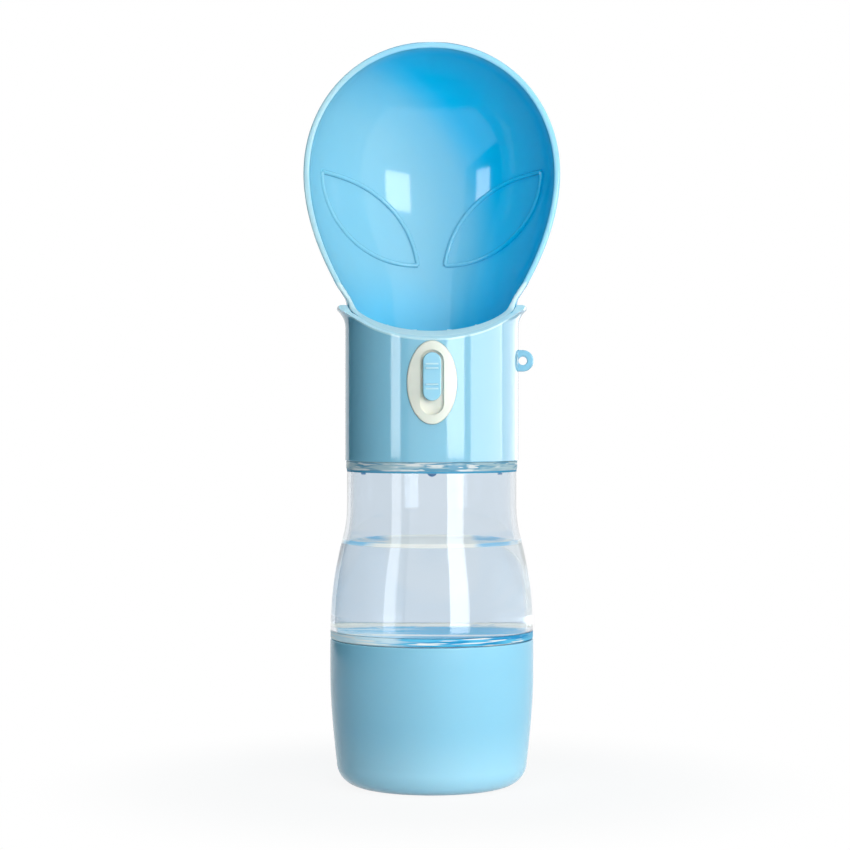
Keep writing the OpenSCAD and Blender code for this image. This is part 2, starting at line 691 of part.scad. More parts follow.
module tube_clip() {
    color([0.75, 0.75, 0.77]) translate([0, 0, hub_top + 0.05]) rotate([0, 0, 120])
        rotate_extrude(angle = 300, $fn = 64)
        translate([tube_r - clip_depth + 0.05, 0]) square([3, clip_t]);
}

module valve_plug() {
    stop_z = seat_z - 0.3;
    color([0.95, 0.95, 0.95]) difference() {
        translate([0, 0, stop_z - plug_t]) cylinder(r = plug_r, h = plug_t + 0.2, $fn = 64);
        translate([0, 0, stop_z - plug_t + 0.55]) cylinder(r = tube_r + 1.65, h = 1.3, $fn = 64);
        translate([0, 0, stop_z - plug_t + 1]) cylinder(r = tube_r + 0.05, h = plug_t, $fn = 64);
    }
}

module detent_spring() {
    spring_t = 0.4;
    tail_y = collar_in_r - 5;
    bead_r = 1.4;
    mid_z = hub_z + hub_h / 2;
    color([0.75, 0.75, 0.77]) translate([-1.8, tail_y + seat_gap, 0]) rotate([90, 0, 90])
        linear_extrude(height = 3.6) {
            translate([0, hub_z]) square([spring_t, hub_h]);
            translate([0, hub_z]) square([1.6, spring_t]);
            translate([0, hub_top - spring_t]) square([1.6, spring_t]);
            translate([1.2, hub_z]) square([spring_t, mid_z - hub_z - bead_r + 0.3]);
            translate([1.2, mid_z + bead_r - 0.3]) square([spring_t, hub_top - mid_z - bead_r + 0.3]);
            intersection() {
                difference() {
                    translate([1.2, mid_z]) circle(bead_r, $fn = 32);
                    translate([1.2, mid_z]) circle(bead_r - spring_t, $fn = 32);
                }
                translate([1.2, mid_z - bead_r]) square([bead_r, 2 * bead_r]);
            }
        }
}

food_cup();
cup_gasket();
bottle_base();
bottle();
neck_gasket();
inner_cap();
collar();
bowl();
switch_bezel();
switch_button();
button_screw();
carriage();
valve_tube();
tube_clip();
valve_plug();
lower_o_ring();
upper_o_ring();
detent_spring();
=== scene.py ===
from math import acos, atan, cos, degrees, exp, log, pi, radians, sin, sqrt, tan

import bmesh
import bpy
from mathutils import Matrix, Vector


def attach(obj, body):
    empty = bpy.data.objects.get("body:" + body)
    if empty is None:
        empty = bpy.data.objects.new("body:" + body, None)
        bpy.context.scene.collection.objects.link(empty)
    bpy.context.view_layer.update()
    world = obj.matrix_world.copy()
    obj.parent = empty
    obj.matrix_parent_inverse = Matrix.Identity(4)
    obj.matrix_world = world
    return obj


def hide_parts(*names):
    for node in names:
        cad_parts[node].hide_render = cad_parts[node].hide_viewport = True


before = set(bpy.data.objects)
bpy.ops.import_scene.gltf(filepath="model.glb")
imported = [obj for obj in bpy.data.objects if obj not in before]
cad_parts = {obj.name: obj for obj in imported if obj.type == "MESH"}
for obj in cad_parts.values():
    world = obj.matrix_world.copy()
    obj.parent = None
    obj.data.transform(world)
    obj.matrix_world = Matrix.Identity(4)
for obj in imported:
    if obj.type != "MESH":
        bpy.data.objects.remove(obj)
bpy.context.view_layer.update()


# Food cup: the bottom of the bottle is a deep cup for dry food, moulded in glossy sky-blue
# plastic. It stands on a narrow foot ring and screws onto the skirt under the bottle.

CUP_R, CUP_WALL, CUP_TOP = 37.5, 2.2, 53.8
CUP_FLOOR, CUP_CORNER, CUP_SWELL, CUP_TAPER = 2.6, 8.5, 40.0, 2.4
FOOT_H, FOOT_W, CUP_THREAD_Z, CUP_PITCH = 0.8, 5.2, 44.5, 5.0
SEAL_OUT_R, SEAL_T = 36.0, 1.1


def bow(x, z, r, start, end, steps=10):
    """Points of an arc round [x, z], from one angle in degrees to another."""
    turns = [radians(start + (end - start) * i / steps) for i in range(steps + 1)]
    return [(x + r * cos(t), z + r * sin(t)) for t in turns]


def choose(piece):
    """Makes a piece the active one, and the only one selected."""
    bpy.ops.object.select_all(action="DESELECT")
    bpy.context.view_layer.objects.active = piece
    piece.select_set(True)


def edit(piece):
    choose(piece)
    bpy.ops.object.mode_set(mode="EDIT")


def pick(piece, part, wanted):
    """Selects the vertices, edges or faces whose centre passes the test. Lengths in millimetres."""
    bpy.ops.mesh.select_mode(type={"verts": "VERT", "edges": "EDGE", "faces": "FACE"}[part])
    bpy.ops.mesh.select_all(action="DESELECT")
    mesh = bmesh.from_edit_mesh(piece.data)
    for item in getattr(mesh, part):
        if part == "verts":
            middle = item.co
        else:
            middle = sum((v.co for v in item.verts), Vector()) / len(item.verts)
        if wanted(middle * 1000, item):
            item.select_set(True)
    mesh.select_flush_mode()
    bmesh.update_edit_mesh(piece.data)


def close_up(piece):
    """Merges what touches and turns every face outwards."""
    bpy.ops.mesh.select_all(action="SELECT")
    bpy.ops.mesh.remove_doubles(threshold=2e-6)
    bpy.ops.mesh.normals_make_consistent(inside=False)
    bpy.ops.object.mode_set(mode="OBJECT")


def smooth(piece, angle=30):
    choose(piece)
    bpy.ops.object.shade_smooth_by_angle(angle=radians(angle))


def crisp(piece, angle=30):
    """Smooth shading in which the large faces lead, so that rounded edges catch the light cleanly."""
    smooth(piece, angle)
    piece.modifiers.new("Crisp", "WEIGHTED_NORMAL").keep_sharp = True
    bpy.ops.object.modifier_apply(modifier="Crisp")


def outline(name, points, y=0.0):
    """A line drawn point by point in the plane of x and z, from one vertex that is extruded."""
    bpy.ops.mesh.primitive_plane_add(size=0.001, location=(0, 0, 0))
    piece = bpy.context.object
    piece.name = piece.data.name = name
    edit(piece)
    bpy.ops.mesh.select_mode(type="VERT")
    bpy.ops.mesh.merge(type="CENTER")
    here = Vector((points[0][0], y, points[0][1])) / 1000
    bpy.ops.transform.translate(value=here)
    for x, z in points[1:]:
        there = Vector((x, y, z)) / 1000
        bpy.ops.mesh.extrude_region_move(TRANSFORM_OT_translate={"value": there - here})
        here = there
    return piece


def turned(name, points, steps=160, closed=False):
    """A round piece: its half section, in millimetres, spun round the upright axis."""
    piece = outline(name, points + points[:1] if closed else points)
    bpy.ops.mesh.select_all(action="SELECT")
    if closed:
        bpy.ops.mesh.remove_doubles(threshold=1e-6)
    bpy.ops.mesh.spin(steps=steps, angle=2 * pi, center=(0, 0, 0), axis=(0, 0, 1))
    close_up(piece)
    smooth(piece)
    return piece


def thread(name, r, crest, z, pitch, turns, width=1.6):
    """A screw thread: a ridge whose section climbs round the axis. A crest below 0 points inwards."""
    sunk = -0.3 if crest > 0 else 0.3
    piece = outline(name, [(r + sunk, z - width / 2), (r + crest, z - width / 5),
                           (r + crest, z + width / 5), (r + sunk, z + width / 2), (r + sunk, z - width / 2)])
    bpy.ops.mesh.select_all(action="SELECT")
    bpy.ops.mesh.remove_doubles(threshold=1e-6)
    bpy.ops.object.mode_set(mode="OBJECT")
    climb = piece.modifiers.new("Climb", "SCREW")
    climb.angle, climb.screw_offset = 2 * pi * turns, pitch * turns / 1000
    climb.steps = climb.render_steps = round(72 * turns)
    bpy.ops.object.modifier_apply(modifier="Climb")
    edit(piece)
    pick(piece, "edges", lambda at, e: e.is_boundary)
    bpy.ops.mesh.edge_face_add()
    close_up(piece)
    smooth(piece)
    return piece


def fuse(piece, other, operation="UNION"):
    """Joins a second shape to a piece, or cuts it away, and leaves one closed skin."""
    choose(piece)
    cut = piece.modifiers.new("Fuse", "BOOLEAN")
    cut.operation, cut.solver, cut.object = operation, "EXACT", other
    bpy.ops.object.modifier_apply(modifier="Fuse")
    bpy.data.objects.remove(other)


def cup_side(inset, steps=24):
    """The cup's side, which swells from its corner up to its full radius."""
    heights = [CUP_CORNER + (CUP_SWELL - CUP_CORNER) * i / steps for i in range(steps + 1)]
    return [(CUP_R - inset - CUP_TAPER * (1 - i / steps) ** 1.6, z) for i, z in enumerate(heights)]


foot_r = CUP_R - CUP_TAPER - CUP_CORNER
inner_corner = CUP_CORNER - CUP_WALL
food_cup = turned("food_cup_shell", [(0, FOOT_H), (foot_r - FOOT_W, FOOT_H)]
                  + bow(foot_r - FOOT_W + 0.6, 0.6, 0.6, 160, 270, 4)
                  + bow(foot_r, CUP_CORNER, CUP_CORNER, -90, 0, 16)[1:] + cup_side(0)[1:]
                  + [(CUP_R, 46), (CUP_R, CUP_TOP - 0.5)]
                  + bow(CUP_R - 0.5, CUP_TOP - 0.5, 0.5, 0, 90, 5)[1:]
                  + [(SEAL_OUT_R + 0.1, CUP_TOP), (SEAL_OUT_R + 0.1, CUP_TOP - SEAL_T),
                     (CUP_R - CUP_WALL, CUP_TOP - SEAL_T), (CUP_R - CUP_WALL, 46)]
                  + cup_side(CUP_WALL)[:0:-1]
                  + bow(foot_r, CUP_FLOOR + inner_corner, inner_corner, 0, -90, 12) + [(0, CUP_FLOOR)])
fuse(food_cup, thread("food_cup_thread", CUP_R - CUP_WALL, -0.45, CUP_THREAD_Z, CUP_PITCH, 1.4))
smooth(food_cup)


class Wire:
    """A value on its way through a finish. Sums on it become Math nodes, and a | b is the larger."""

    def __init__(self, finish, socket):
        self.finish, self.socket = finish, socket

    def sum(self, operation, *others, first=None):
        inputs = ([self] if first is None else [first, self]) + list(others)
        return self.finish.add("ShaderNodeMath", {"operation": operation}, dict(enumerate(inputs)))

    def __abs__(self):
        return self.sum("ABSOLUTE")

    def __or__(self, other):
        return self.sum("MAXIMUM", other)

    def __add__(self, other):
        return self.sum("ADD", other)

    def __radd__(self, other):
        return self.sum("ADD", other)

    def __sub__(self, other):
        return self.sum("SUBTRACT", other)

    def __rsub__(self, other):
        return self.sum("SUBTRACT", first=other)

    def __mul__(self, other):
        return self.sum("MULTIPLY", other)

    def __rmul__(self, other):
        return self.sum("MULTIPLY", other)

    def __pow__(self, other):
        return self.sum("POWER", other)

    def __rpow__(self, other):
        return self.sum("POWER", first=other)


class Finish:
    """One finish as it is mixed: its constants, its nodes and what they feed."""

    def __init__(self, name, **constants):
        self.material = bpy.data.materials.new(name)
        self.material.use_nodes = True
        self.tree = self.material.node_tree
        self.shader = self.tree.nodes["Principled BSDF"]
        for socket, value in constants.items():
            self.shader.inputs[socket.replace("_", " ")].default_value = value

    def add(self, kind, settings, inputs, out=0):
        """A new node with its settings and its inputs, each a constant or a wire. Gives one output."""
        node = self.tree.nodes.new(kind)
        for key, value in settings.items():
            setattr(node, key, value)
        for key, value in inputs.items():
            if isinstance(value, Wire):
                self.tree.links.new(value.socket, node.inputs[key])
            else:
                node.inputs[key].default_value = value
        return Wire(self, node.outputs[out])

    def at(self, what="Object"):
        return self.add("ShaderNodeTexCoord", {}, {}, what)

    def place(self):
        """Place on the object in millimetres: x, y and z."""
        split = self.add("ShaderNodeSeparateXYZ", {}, {"Vector": self.at()})
        return [Wire(self, split.socket.node.outputs[i]) * 1000 for i in range(3)]

    def grain(self, scale, detail, stretch=(1, 1, 1)):
        """Even noise from 0 to 1, with that many lumps per metre."""
        where = self.add("ShaderNodeMapping", {}, {"Vector": self.at(), "Scale": stretch})
        return self.add("ShaderNodeTexNoise", {}, {"Vector": where, "Scale": scale, "Detail": detail})

    def between(self, value, low, high):
        """0 at low, 1 at high and a smooth ramp in between. High may be the lower of the two."""
        return self.add("ShaderNodeMapRange", {"interpolation_type": "SMOOTHSTEP"},
                        {"Value": value, "From Min": low, "From Max": high})

    def tint(self, share, one, other):
        """One colour where the share is 0, and the other where it is 1."""
        colours = [c if isinstance(c, Wire) else (*c, 1) for c in (one, other)]
        return self.add("ShaderNodeMix", {"data_type": "RGBA"}, {0: share, 6: colours[0], 7: colours[1]}, 2)

    def feed(self, **wires):
        for socket, wire in wires.items():
            self.tree.links.new(wire.socket, self.shader.inputs[socket.replace("_", " ")])

    def bump(self, height, distance, strength):
        """Fine relief of a height from 0 to 1 times a distance in metres."""
        relief = {"Height": height, "Distance": distance, "Strength": strength}
        self.feed(Normal=self.add("ShaderNodeBump", {}, relief))

    def scatter(self, share, colour, glow):
        """Lays a share of painted reflection over the clear finish: a colour that glows a little, in place of
        the light that would pass through.
        """
        reflection_inputs = {"Base Color": colour, "Emission Color": colour, "Emission Strength": glow,
                "Specular IOR Level": 0.0}
        self.layer(share, self.add("ShaderNodeBsdfPrincipled", {}, reflection_inputs))

    def layer(self, share, over):
        """Lays another shader over this one."""
        both = self.add("ShaderNodeMixShader", {}, {0: share, 1: Wire(self, self.shader.outputs[0]), 2: over})
        self.tree.links.new(both.socket, self.tree.nodes["Material Output"].inputs["Surface"])

    def coat(self, *pieces):
        for piece in pieces:
            if piece.data.materials:
                for i in range(len(piece.data.materials)):
                    piece.data.materials[i] = self.material
            else:
                piece.data.materials.append(self.material)


def paint(*shares):
    """Red, green and blue as they look, from 0 to 255, made linear."""
    return tuple(((c / 255 + 0.055) / 1.055) ** 2.4 if c > 10 else c / 255 / 12.92 for c in shares)


def blue_plastic(name, colour, roughness, scuffs=None):
    """Glossy moulded plastic: faint flow marks, fine orange peel and hairline scratches. Scuffs are
    the heights under which it is worn all over, and over which it isn't."""
    blue = Finish(name, IOR=1.49, Subsurface_Weight=0.15, Subsurface_Radius=(0.4, 0.9, 1.2),
                  Subsurface_Scale=0.004)
    flow = blue.grain(38, 3, (1, 1, 0.45))
    peel = blue.grain(900, 2)
    fine = blue.grain(150, 5, (1, 1, 9))
    scratch = blue.between(fine, 0.62, 0.72)
    shade = blue.tint(flow, tuple(c * 0.975 for c in colour), tuple(min(1, c * 1.02) for c in colour))
    rough = roughness + flow * 0.03 + scratch * 0.015 - 0.015
    if scuffs:
        worn = blue.between(blue.place()[2], scuffs[1], scuffs[0]) * blue.grain(700, 4)
        shade = blue.tint(worn * 0.3, shade, paint(176, 214, 232))
        rough = rough + worn * 0.3
    blue.feed(Base_Color=shade, Roughness=rough)
    blue.shade = shade
    blue.bump(peel * 0.4 + scratch * 0.04 + flow * 0.4, 0.00002, 0.4)
    return blue


BLUE = paint(144, 201, 225)
cup_blue = blue_plastic("cup_blue", BLUE, 0.2, scuffs=(0.2, 1.6))
cup_blue.shader.inputs["Specular IOR Level"].default_value = 0.3
# Painted reflection: the cup is painted paler towards its foot, where it mirrors the white floor
low = cup_blue.between(cup_blue.place()[2], 26, 3)
cup_blue.feed(Base_Color=cup_blue.tint(low * 0.7, cup_blue.shade, paint(176, 222, 240)))
cup_blue.coat(food_cup)
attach(food_cup, "cup")
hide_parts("food_cup")


# Cup gasket: a flat ring of milky silicone in the cup's rim, which the bottle screws down on.

silicone = Finish("silicone", Roughness=0.42, IOR=1.41, Subsurface_Weight=0.35, Subsurface_Scale=0.003)
silicone.feed(Base_Color=silicone.tint(silicone.grain(120, 3), paint(222, 226, 226), paint(236, 238, 236)))
silicone.bump(silicone.grain(1500, 2), 0.00004, 0.5)
silicone.coat(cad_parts["cup_gasket"])


# Bottle base: the clear floor that is welded into the bottle. Its flange rests over the rim of
# the cup, and its threaded skirt reaches down into it.

BASE_R, BASE_Z, BELL_Z, FLOOR_TOP, FLOOR_T, BOTTLE_WALL = 37.4, 54.1, 57.0, 56.6, 2.9, 2.1
SKIRT_R, SKIRT_IN, SKIRT_LOW, SKIRT_THREAD_Z = 34.0, 31.6, 43.9, 45.6

plug_r, under = BASE_R - BOTTLE_WALL - 0.1, FLOOR_TOP - FLOOR_T
bottle_base = turned("bottle_base_floor", [(0, under), (SKIRT_IN - 1.2, under)]
                     + bow(SKIRT_IN - 1.2, under - 1.2, 1.2, 90, 0, 5)[1:]
                     + [(SKIRT_IN, SKIRT_LOW + 0.4)]
                     + bow(SKIRT_IN + 0.4, SKIRT_LOW + 0.4, 0.4, 180, 270, 3)[1:]
                     + bow(SKIRT_R - 0.7, SKIRT_LOW + 0.7, 0.7, -90, 0, 4) + [(SKIRT_R, BASE_Z)]
                     + bow(BASE_R - 0.4, BASE_Z + 0.4, 0.4, -90, 0, 5)
                     + [(BASE_R, BELL_Z), (plug_r, BELL_Z), (plug_r, FLOOR_TOP), (0, FLOOR_TOP)])
fuse(bottle_base, thread("bottle_base_thread", SKIRT_R, 0.6, SKIRT_THREAD_Z, CUP_PITCH, 1.3))
crisp(bottle_base)


def clear_plastic(name, colour):
    """Clear copolyester: a cool tint, soft moulding ripples and light scratches."""
    clear = Finish(name, IOR=1.52, Transmission_Weight=1.0)
    ripple = clear.grain(55, 3, (1, 1, 0.5))
    scratch = clear.between(clear.grain(110, 6, (1, 1, 7)), 0.63, 0.72)
    clear.shade = clear.tint(ripple, colour, tuple(min(1, c * 1.03) for c in colour))
    clear.feed(Base_Color=clear.shade, Roughness=0.04 + scratch * 0.12)
    clear.bump(ripple + scratch * 0.04, 0.0002, 0.25)
    return clear


# Painted reflection: the edge and the floor's rim are painted with the cup's blue in streaks and glints,
# paler on the left
base_clear = clear_plastic("base_clear", (0.82, 0.93, 0.98))
x, y, z = base_clear.place()
streaks = base_clear.between(base_clear.grain(260, 3, (0.16, 0.16, 4.0)), 0.42, 0.56)
to_right = base_clear.between(x + streaks * 12, -18, 2)
deep = base_clear.tint(streaks, paint(0, 142, 196), paint(90, 190, 226))
painted_glint = base_clear.between(base_clear.grain(330, 2, (0.2, 0.2, 5.0)), 0.55, 0.62)
painted_reflection_colour = base_clear.tint(painted_glint, base_clear.tint(to_right, paint(214, 236, 244), deep), paint(246, 243, 236))
base_clear.feed(Base_Color=base_clear.tint(to_right, base_clear.shade, (0.3, 0.7, 0.92)))
base_clear.scatter(base_clear.between(z, 53.0, 54.5) * 0.7, painted_reflection_colour, 0.12)
base_clear.coat(bottle_base)
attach(bottle_base, "bottle")
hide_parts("bottle_base")


# Bottle: a clear ogee body that narrows into a straight waist, with a thick shoulder that the
# collar screws down on and a threaded neck. It is blown and moulded in one.

WAIST_R, SHOULDER_Z, SHOULDER_T, NECK_R, NECK_IN, NECK_TOP = 31.3, 119.2, 3.3, 27.9, 26.3, 131.0
FLARE_H, FLARE_SHARE, NECK_THREAD_Z, NECK_PITCH = 46.0, 0.74, 122.6, 6.0

ogee_turn = 2 * atan((BASE_R - WAIST_R) / FLARE_H)
ogee_r = FLARE_H / sin(ogee_turn)
bulge, hollow = ogee_r * FLARE_SHARE, ogee_r * (1 - FLARE_SHARE)


def ogee(inset):
    """The body's two arcs, of which the lower bulges and the upper is hollow."""
    return (bow(BASE_R - bulge, BELL_Z, bulge - inset, 0, degrees(ogee_turn), 24)
            + bow(WAIST_R + hollow, BELL_Z + FLARE_H, hollow + inset, 180 + degrees(ogee_turn), 180, 14)[1:])


roof = SHOULDER_Z - SHOULDER_T
waist_in = WAIST_R - BOTTLE_WALL
bottle = turned("bottle_body", ogee(0)
                + [(WAIST_R, roof - 0.6)] + bow(WAIST_R + 0.6, roof - 0.2, 0.6, 220, 140, 4)[1:3]
                + [(WAIST_R + 0.3, roof + 1), (WAIST_R + 0.3, SHOULDER_Z), (WAIST_R, SHOULDER_Z + 0.25),
                   (NECK_R + 0.8, SHOULDER_Z + 0.25)]
                + bow(NECK_R + 0.8, SHOULDER_Z + 1.05, 0.8, 270, 180, 4)[1:]
                + [(NECK_R, NECK_TOP - 0.5)] + bow(NECK_R - 0.5, NECK_TOP - 0.5, 0.5, 0, 90, 4)[1:]
                + bow(NECK_IN + 0.3, NECK_TOP - 0.3, 0.3, 90, 180, 3) + [(NECK_IN, roof + 1.2)]
                + bow(NECK_IN - 0.6, roof + 0.6, 0.6, 0, -90, 3)
                + bow(waist_in - 0.3, roof - 0.3, 0.3, 90, 0, 4)
                + [(waist_in, BELL_Z + FLARE_H + 4)] + ogee(BOTTLE_WALL)[::-1], closed=True)
fuse(bottle, thread("neck_thread", NECK_R, 0.6, NECK_THREAD_Z, NECK_PITCH, 1.25))
crisp(bottle)

# Painted reflection: the thick shoulder is painted with streaks and glints of bent light, over one painted
# blue line where the wall grows thin
clear = clear_plastic("clear_plastic", (0.775, 0.83, 0.88))
z = clear.place()[2]
wavy = clear.between(clear.grain(420, 4, (0.2, 0.2, 2.8)), 0.40, 0.58)
bright = clear.between(clear.grain(420, 2, (0.25, 0.25, 3.4)), 0.54, 0.60)
painted_streaks = clear.tint(wavy, paint(92, 158, 186), paint(178, 203, 208))
painted_streaks = clear.tint(bright, painted_streaks, paint(240, 240, 236))
shoulder = clear.between(z, roof - 0.2, roof + 0.4)
painted_blue_line = clear.between(z, roof - 0.5, roof - 0.3) * clear.between(z, roof + 0.5, roof + 0.2)
clear.scatter(shoulder * 0.6 | painted_blue_line * 0.85, clear.tint(painted_blue_line, painted_streaks, paint(62, 142, 178)), 0.1)
clear.coat(bottle)
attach(bottle, "bottle")
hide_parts("bottle")


# Water: what is left in the bottle. Its skin sits just inside the wall, so that the two act as
# one thickness, and it creeps up the wall at its edge.

WATER_Z, CREEP_H, CREEP_W, OVER, UNDER = 89.0, 1.1, 3.2, 0.04, 0.06


def wall_inside(z):
    """Radius of the bottle's inner wall at a height."""
    if z < BELL_Z + bulge * sin(ogee_turn):
        return BASE_R - bulge + sqrt((bulge - BOTTLE_WALL) ** 2 - (z - BELL_Z) ** 2)
    return WAIST_R + hollow - sqrt((hollow + BOTTLE_WALL) ** 2 - (BELL_Z + FLARE_H - z) ** 2)


sides = [FLOOR_TOP + (WATER_Z - FLOOR_TOP) * i / 14 for i in range(1, 15)] + [WATER_Z + CREEP_H]
water = turned("water", [(0, FLOOR_TOP + UNDER), (plug_r - 0.1, FLOOR_TOP + UNDER)]
               + [(wall_inside(z) + OVER, z) for z in sides]
               + [(wall_inside(WATER_Z) - d, WATER_Z + CREEP_H * (1 - d / CREEP_W) ** 3)
                  for d in (0.25, 0.7, 1.3, 2.2, CREEP_W)]
               + [(0, WATER_Z)])
wet = Finish("water", IOR=1.333, Transmission_Weight=1.0, Roughness=0.0)
wet.feed(Base_Color=wet.tint(wet.grain(30, 1), (0.96, 0.98, 0.99), (0.98, 0.99, 1.0)))
wet.bump(wet.grain(45, 1), 0.0004, 0.15)

# Painted reflections: its top and the edge on the right are painted with a milky, glowing light,
# with painted blue glints at both ends of the top, and its foot is painted with the cup's blue in streaks
x, y, z = wet.place()
cream_light, sky_light, deep_light = paint(240, 238, 228), paint(96, 186, 226), paint(0, 160, 200)
glint = wet.grain(110, 2, (0.3, 0.8, 1))
ends = wet.between(abs(x) + glint * 8, 19, 23) * wet.between(glint, 0.34, 0.62) * 0.85
top_light = wet.tint(ends, cream_light, sky_light)
drift = wet.between(wet.grain(300, 3, (0.12, 0.7, 1)), 0.34, 0.66)
to_right = wet.between(x + drift * 12, -16, 4)
foot_light = wet.tint(to_right, wet.tint(drift, paint(206, 232, 242), paint(130, 210, 236)),
                      wet.tint(drift, deep_light, paint(0, 165, 212)))
bank_light = wet.between(y + drift * 6, 2, -4) * wet.between(y + drift * 6, -12, -7) * 0.8
foot_light = wet.tint(bank_light | wet.between(y, 23, 26), foot_light, cream_light)
on_top = wet.between(z, WATER_Z - 0.4, WATER_Z - 0.1)
on_foot = wet.between(z, FLOOR_TOP + 0.5, FLOOR_TOP + 0.2)
below = WATER_Z - z
on_edge = wet.between(x + 0.79 ** below * 8 - below * 0.04, 30.8, 32.8)
wet.scatter(on_top * 0.66 | on_edge * 0.36 | on_foot * 0.76,
            wet.tint(on_foot, wet.tint(on_top, cream_light, top_light), foot_light), 0.6)
wet.coat(water)
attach(water, "bottle")


# Neck gasket: a flat ring of white silicone between the neck and the disc of the inner cap.

silicone.coat(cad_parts["neck_gasket"])


# Inner cap: a blue moulding snapped up into the collar. It plugs the neck and guides the tube.

cap_blue = blue_plastic("cap_plastic", paint(0, 142, 206), 0.25)
cap_blue.coat(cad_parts["inner_cap"])


# Collar: a thin blue sleeve that screws onto the neck. Its back and sides rise in a curved flare
# round the bowl, its front is cut along a slope, and a strap lug stands on its right.

COLLAR_R, COLLAR_IN, COLLAR_Z, COLLAR_TOP, COLLAR_TIP = 32.0, 30.2, 119.5, 176.7, 35.1
LIP_Z, LIP_SLOPE, LEDGE_Z, SWITCH_Z, BEZEL_W, BEZEL_H = 163.7, 26.8, 162.1, 148.1, 18.0, 30.0
FLARE_R, TIP_R, TIP_STEP, LEDGE_W, AHEAD = 8.0, 1.25, 0.9, 1.8, -40.0
LUG, LUG_R, LUG_HOLE, LUG_ROOT, LUG_T = Vector((33.7, 2.0, 156.3)), 4.0, 1.55, 3.0, 4.0
RIB_SIZE, RIB_R, RIB_Z, SEAT_GAP, FRAME_W = (1.5, 1.2, 25.68), 29.75, 147.6, 0.2, 3.4
THROAT_R, THROAT_RISE, THROAT_DEEP, THROAT_TAPER = 31.5, 1.4, 3.0, 2.0

flare_turn = acos(1 - (COLLAR_TIP - TIP_R - COLLAR_R + TIP_STEP) / FLARE_R)
flare_z = COLLAR_TOP - TIP_R - FLARE_R * sin(flare_turn) - TIP_STEP
collar = turned("collar_sleeve", bow(COLLAR_R - 0.3, COLLAR_Z + 0.3, 0.3, -90, 0, 4)
                + [(COLLAR_R, COLLAR_Z + 2 * i) for i in range(1, 25)]
                + bow(COLLAR_R + FLARE_R, flare_z, FLARE_R, 180, 180 - degrees(flare_turn), 14)
                + bow(COLLAR_TIP - TIP_R, COLLAR_TOP - TIP_R, TIP_R, -30, 90, 8)
                + [(THROAT_R + 0.2, COLLAR_TOP), (THROAT_R + 0.2, COLLAR_TOP - THROAT_DEEP),
                   (COLLAR_IN, COLLAR_TOP - THROAT_DEEP - THROAT_TAPER), (COLLAR_IN, LEDGE_Z),
                   (COLLAR_IN - LEDGE_W, LEDGE_Z), (COLLAR_IN - LEDGE_W, LEDGE_Z - LEDGE_W),
                   (COLLAR_IN, LEDGE_Z - LEDGE_W), (COLLAR_IN, COLLAR_Z + 0.4),
                   (COLLAR_IN + 0.4, COLLAR_Z)], closed=True)


def rod(r, length, at, turn=(pi / 2, 0, 0), sides=64):
    """A cylinder round a place, along y unless it is turned. Lengths in millimetres."""
    bpy.ops.mesh.primitive_cylinder_add(vertices=sides, radius=r / 1000, depth=length / 1000,
                                        location=Vector(at) / 1000, rotation=turn)
    piece = bpy.context.object
    bpy.ops.object.transform_apply(location=True, rotation=True, scale=True)
    return piece


def block(size, at):
    """A box round a place. Lengths in millimetres."""
    bpy.ops.mesh.primitive_cube_add(size=0.001, location=(0, 0, 0))
    piece = bpy.context.object
    edit(piece)
    bpy.ops.transform.resize(value=size)
    bpy.ops.transform.translate(value=Vector(at) / 1000)
    bpy.ops.object.mode_set(mode="OBJECT")
    return piece


def round_edges(piece, r, wanted, sharp=0.5, steps=4, clamp=False):
    """Rounds the edges that are sharp and pass the test."""
    edit(piece)
    pick(piece, "edges", lambda at, e: e.calc_face_angle(0) > sharp and wanted(at, e))
    bpy.ops.mesh.bevel(offset=r / 1000, segments=steps, affect="EDGES", clamp_overlap=clamp)
    close_up(piece)


# The lug is a thick eye with a square root, drilled and rounded before it grows into the sleeve
lug = rod(LUG_R, LUG_T, LUG)
edit(lug)
pick(lug, "verts", lambda at, v: at.x < LUG.x - 0.01)
bpy.ops.transform.resize(value=(0, 1, 1), center_override=((LUG.x - LUG_ROOT) / 1000, 0, 0))
for side in (-1, 1):
    pick(lug, "verts", lambda at, v: at.x < LUG.x - LUG_ROOT + 1 and (at.z - LUG.z) * side > -0.001)
    bpy.ops.transform.resize(value=(1, 1, 0), center_override=(0, 0, (LUG.z + side * LUG_R) / 1000))
close_up(lug)
fuse(lug, rod(LUG_HOLE, 10, LUG, sides=48), "DIFFERENCE")
round_edges(lug, 0.6, lambda at, e: at.x > LUG.x - LUG_ROOT + 0.1)
fuse(collar, lug)

# Six upright ribs inside stop the inner cap
for i in range(6):
    rib = block(RIB_SIZE, (RIB_R, 0, RIB_Z))
    rib.rotation_euler = (0, 0, radians(90 + (i - 2.5) * 48))
    bpy.ops.object.transform_apply(location=True, rotation=True, scale=True)
    fuse(collar, rib)


def oval_block(name, width, height, front, back, straight=False, sides=96):
    """An upright oval from y = front back to y = back, or a stadium with straight sides."""
    piece = rod(width / 2, back - front, (0, (front + back) / 2, SWITCH_Z), sides=sides)
    piece.name = piece.data.name = name
    edit(piece)
    bpy.ops.mesh.select_all(action="SELECT")
    if straight:
        for side in (-1, 1):
            pick(piece, "verts", lambda at, v: (at.z - SWITCH_Z) * side > 0.01)
            bpy.ops.transform.translate(value=(0, 0, side * (height - width) / 2000))
    else:
        bpy.ops.transform.resize(value=(1, 1, height / width), center_override=(0, 0, SWITCH_Z / 1000))
    bpy.ops.object.mode_set(mode="OBJECT")
    return piece


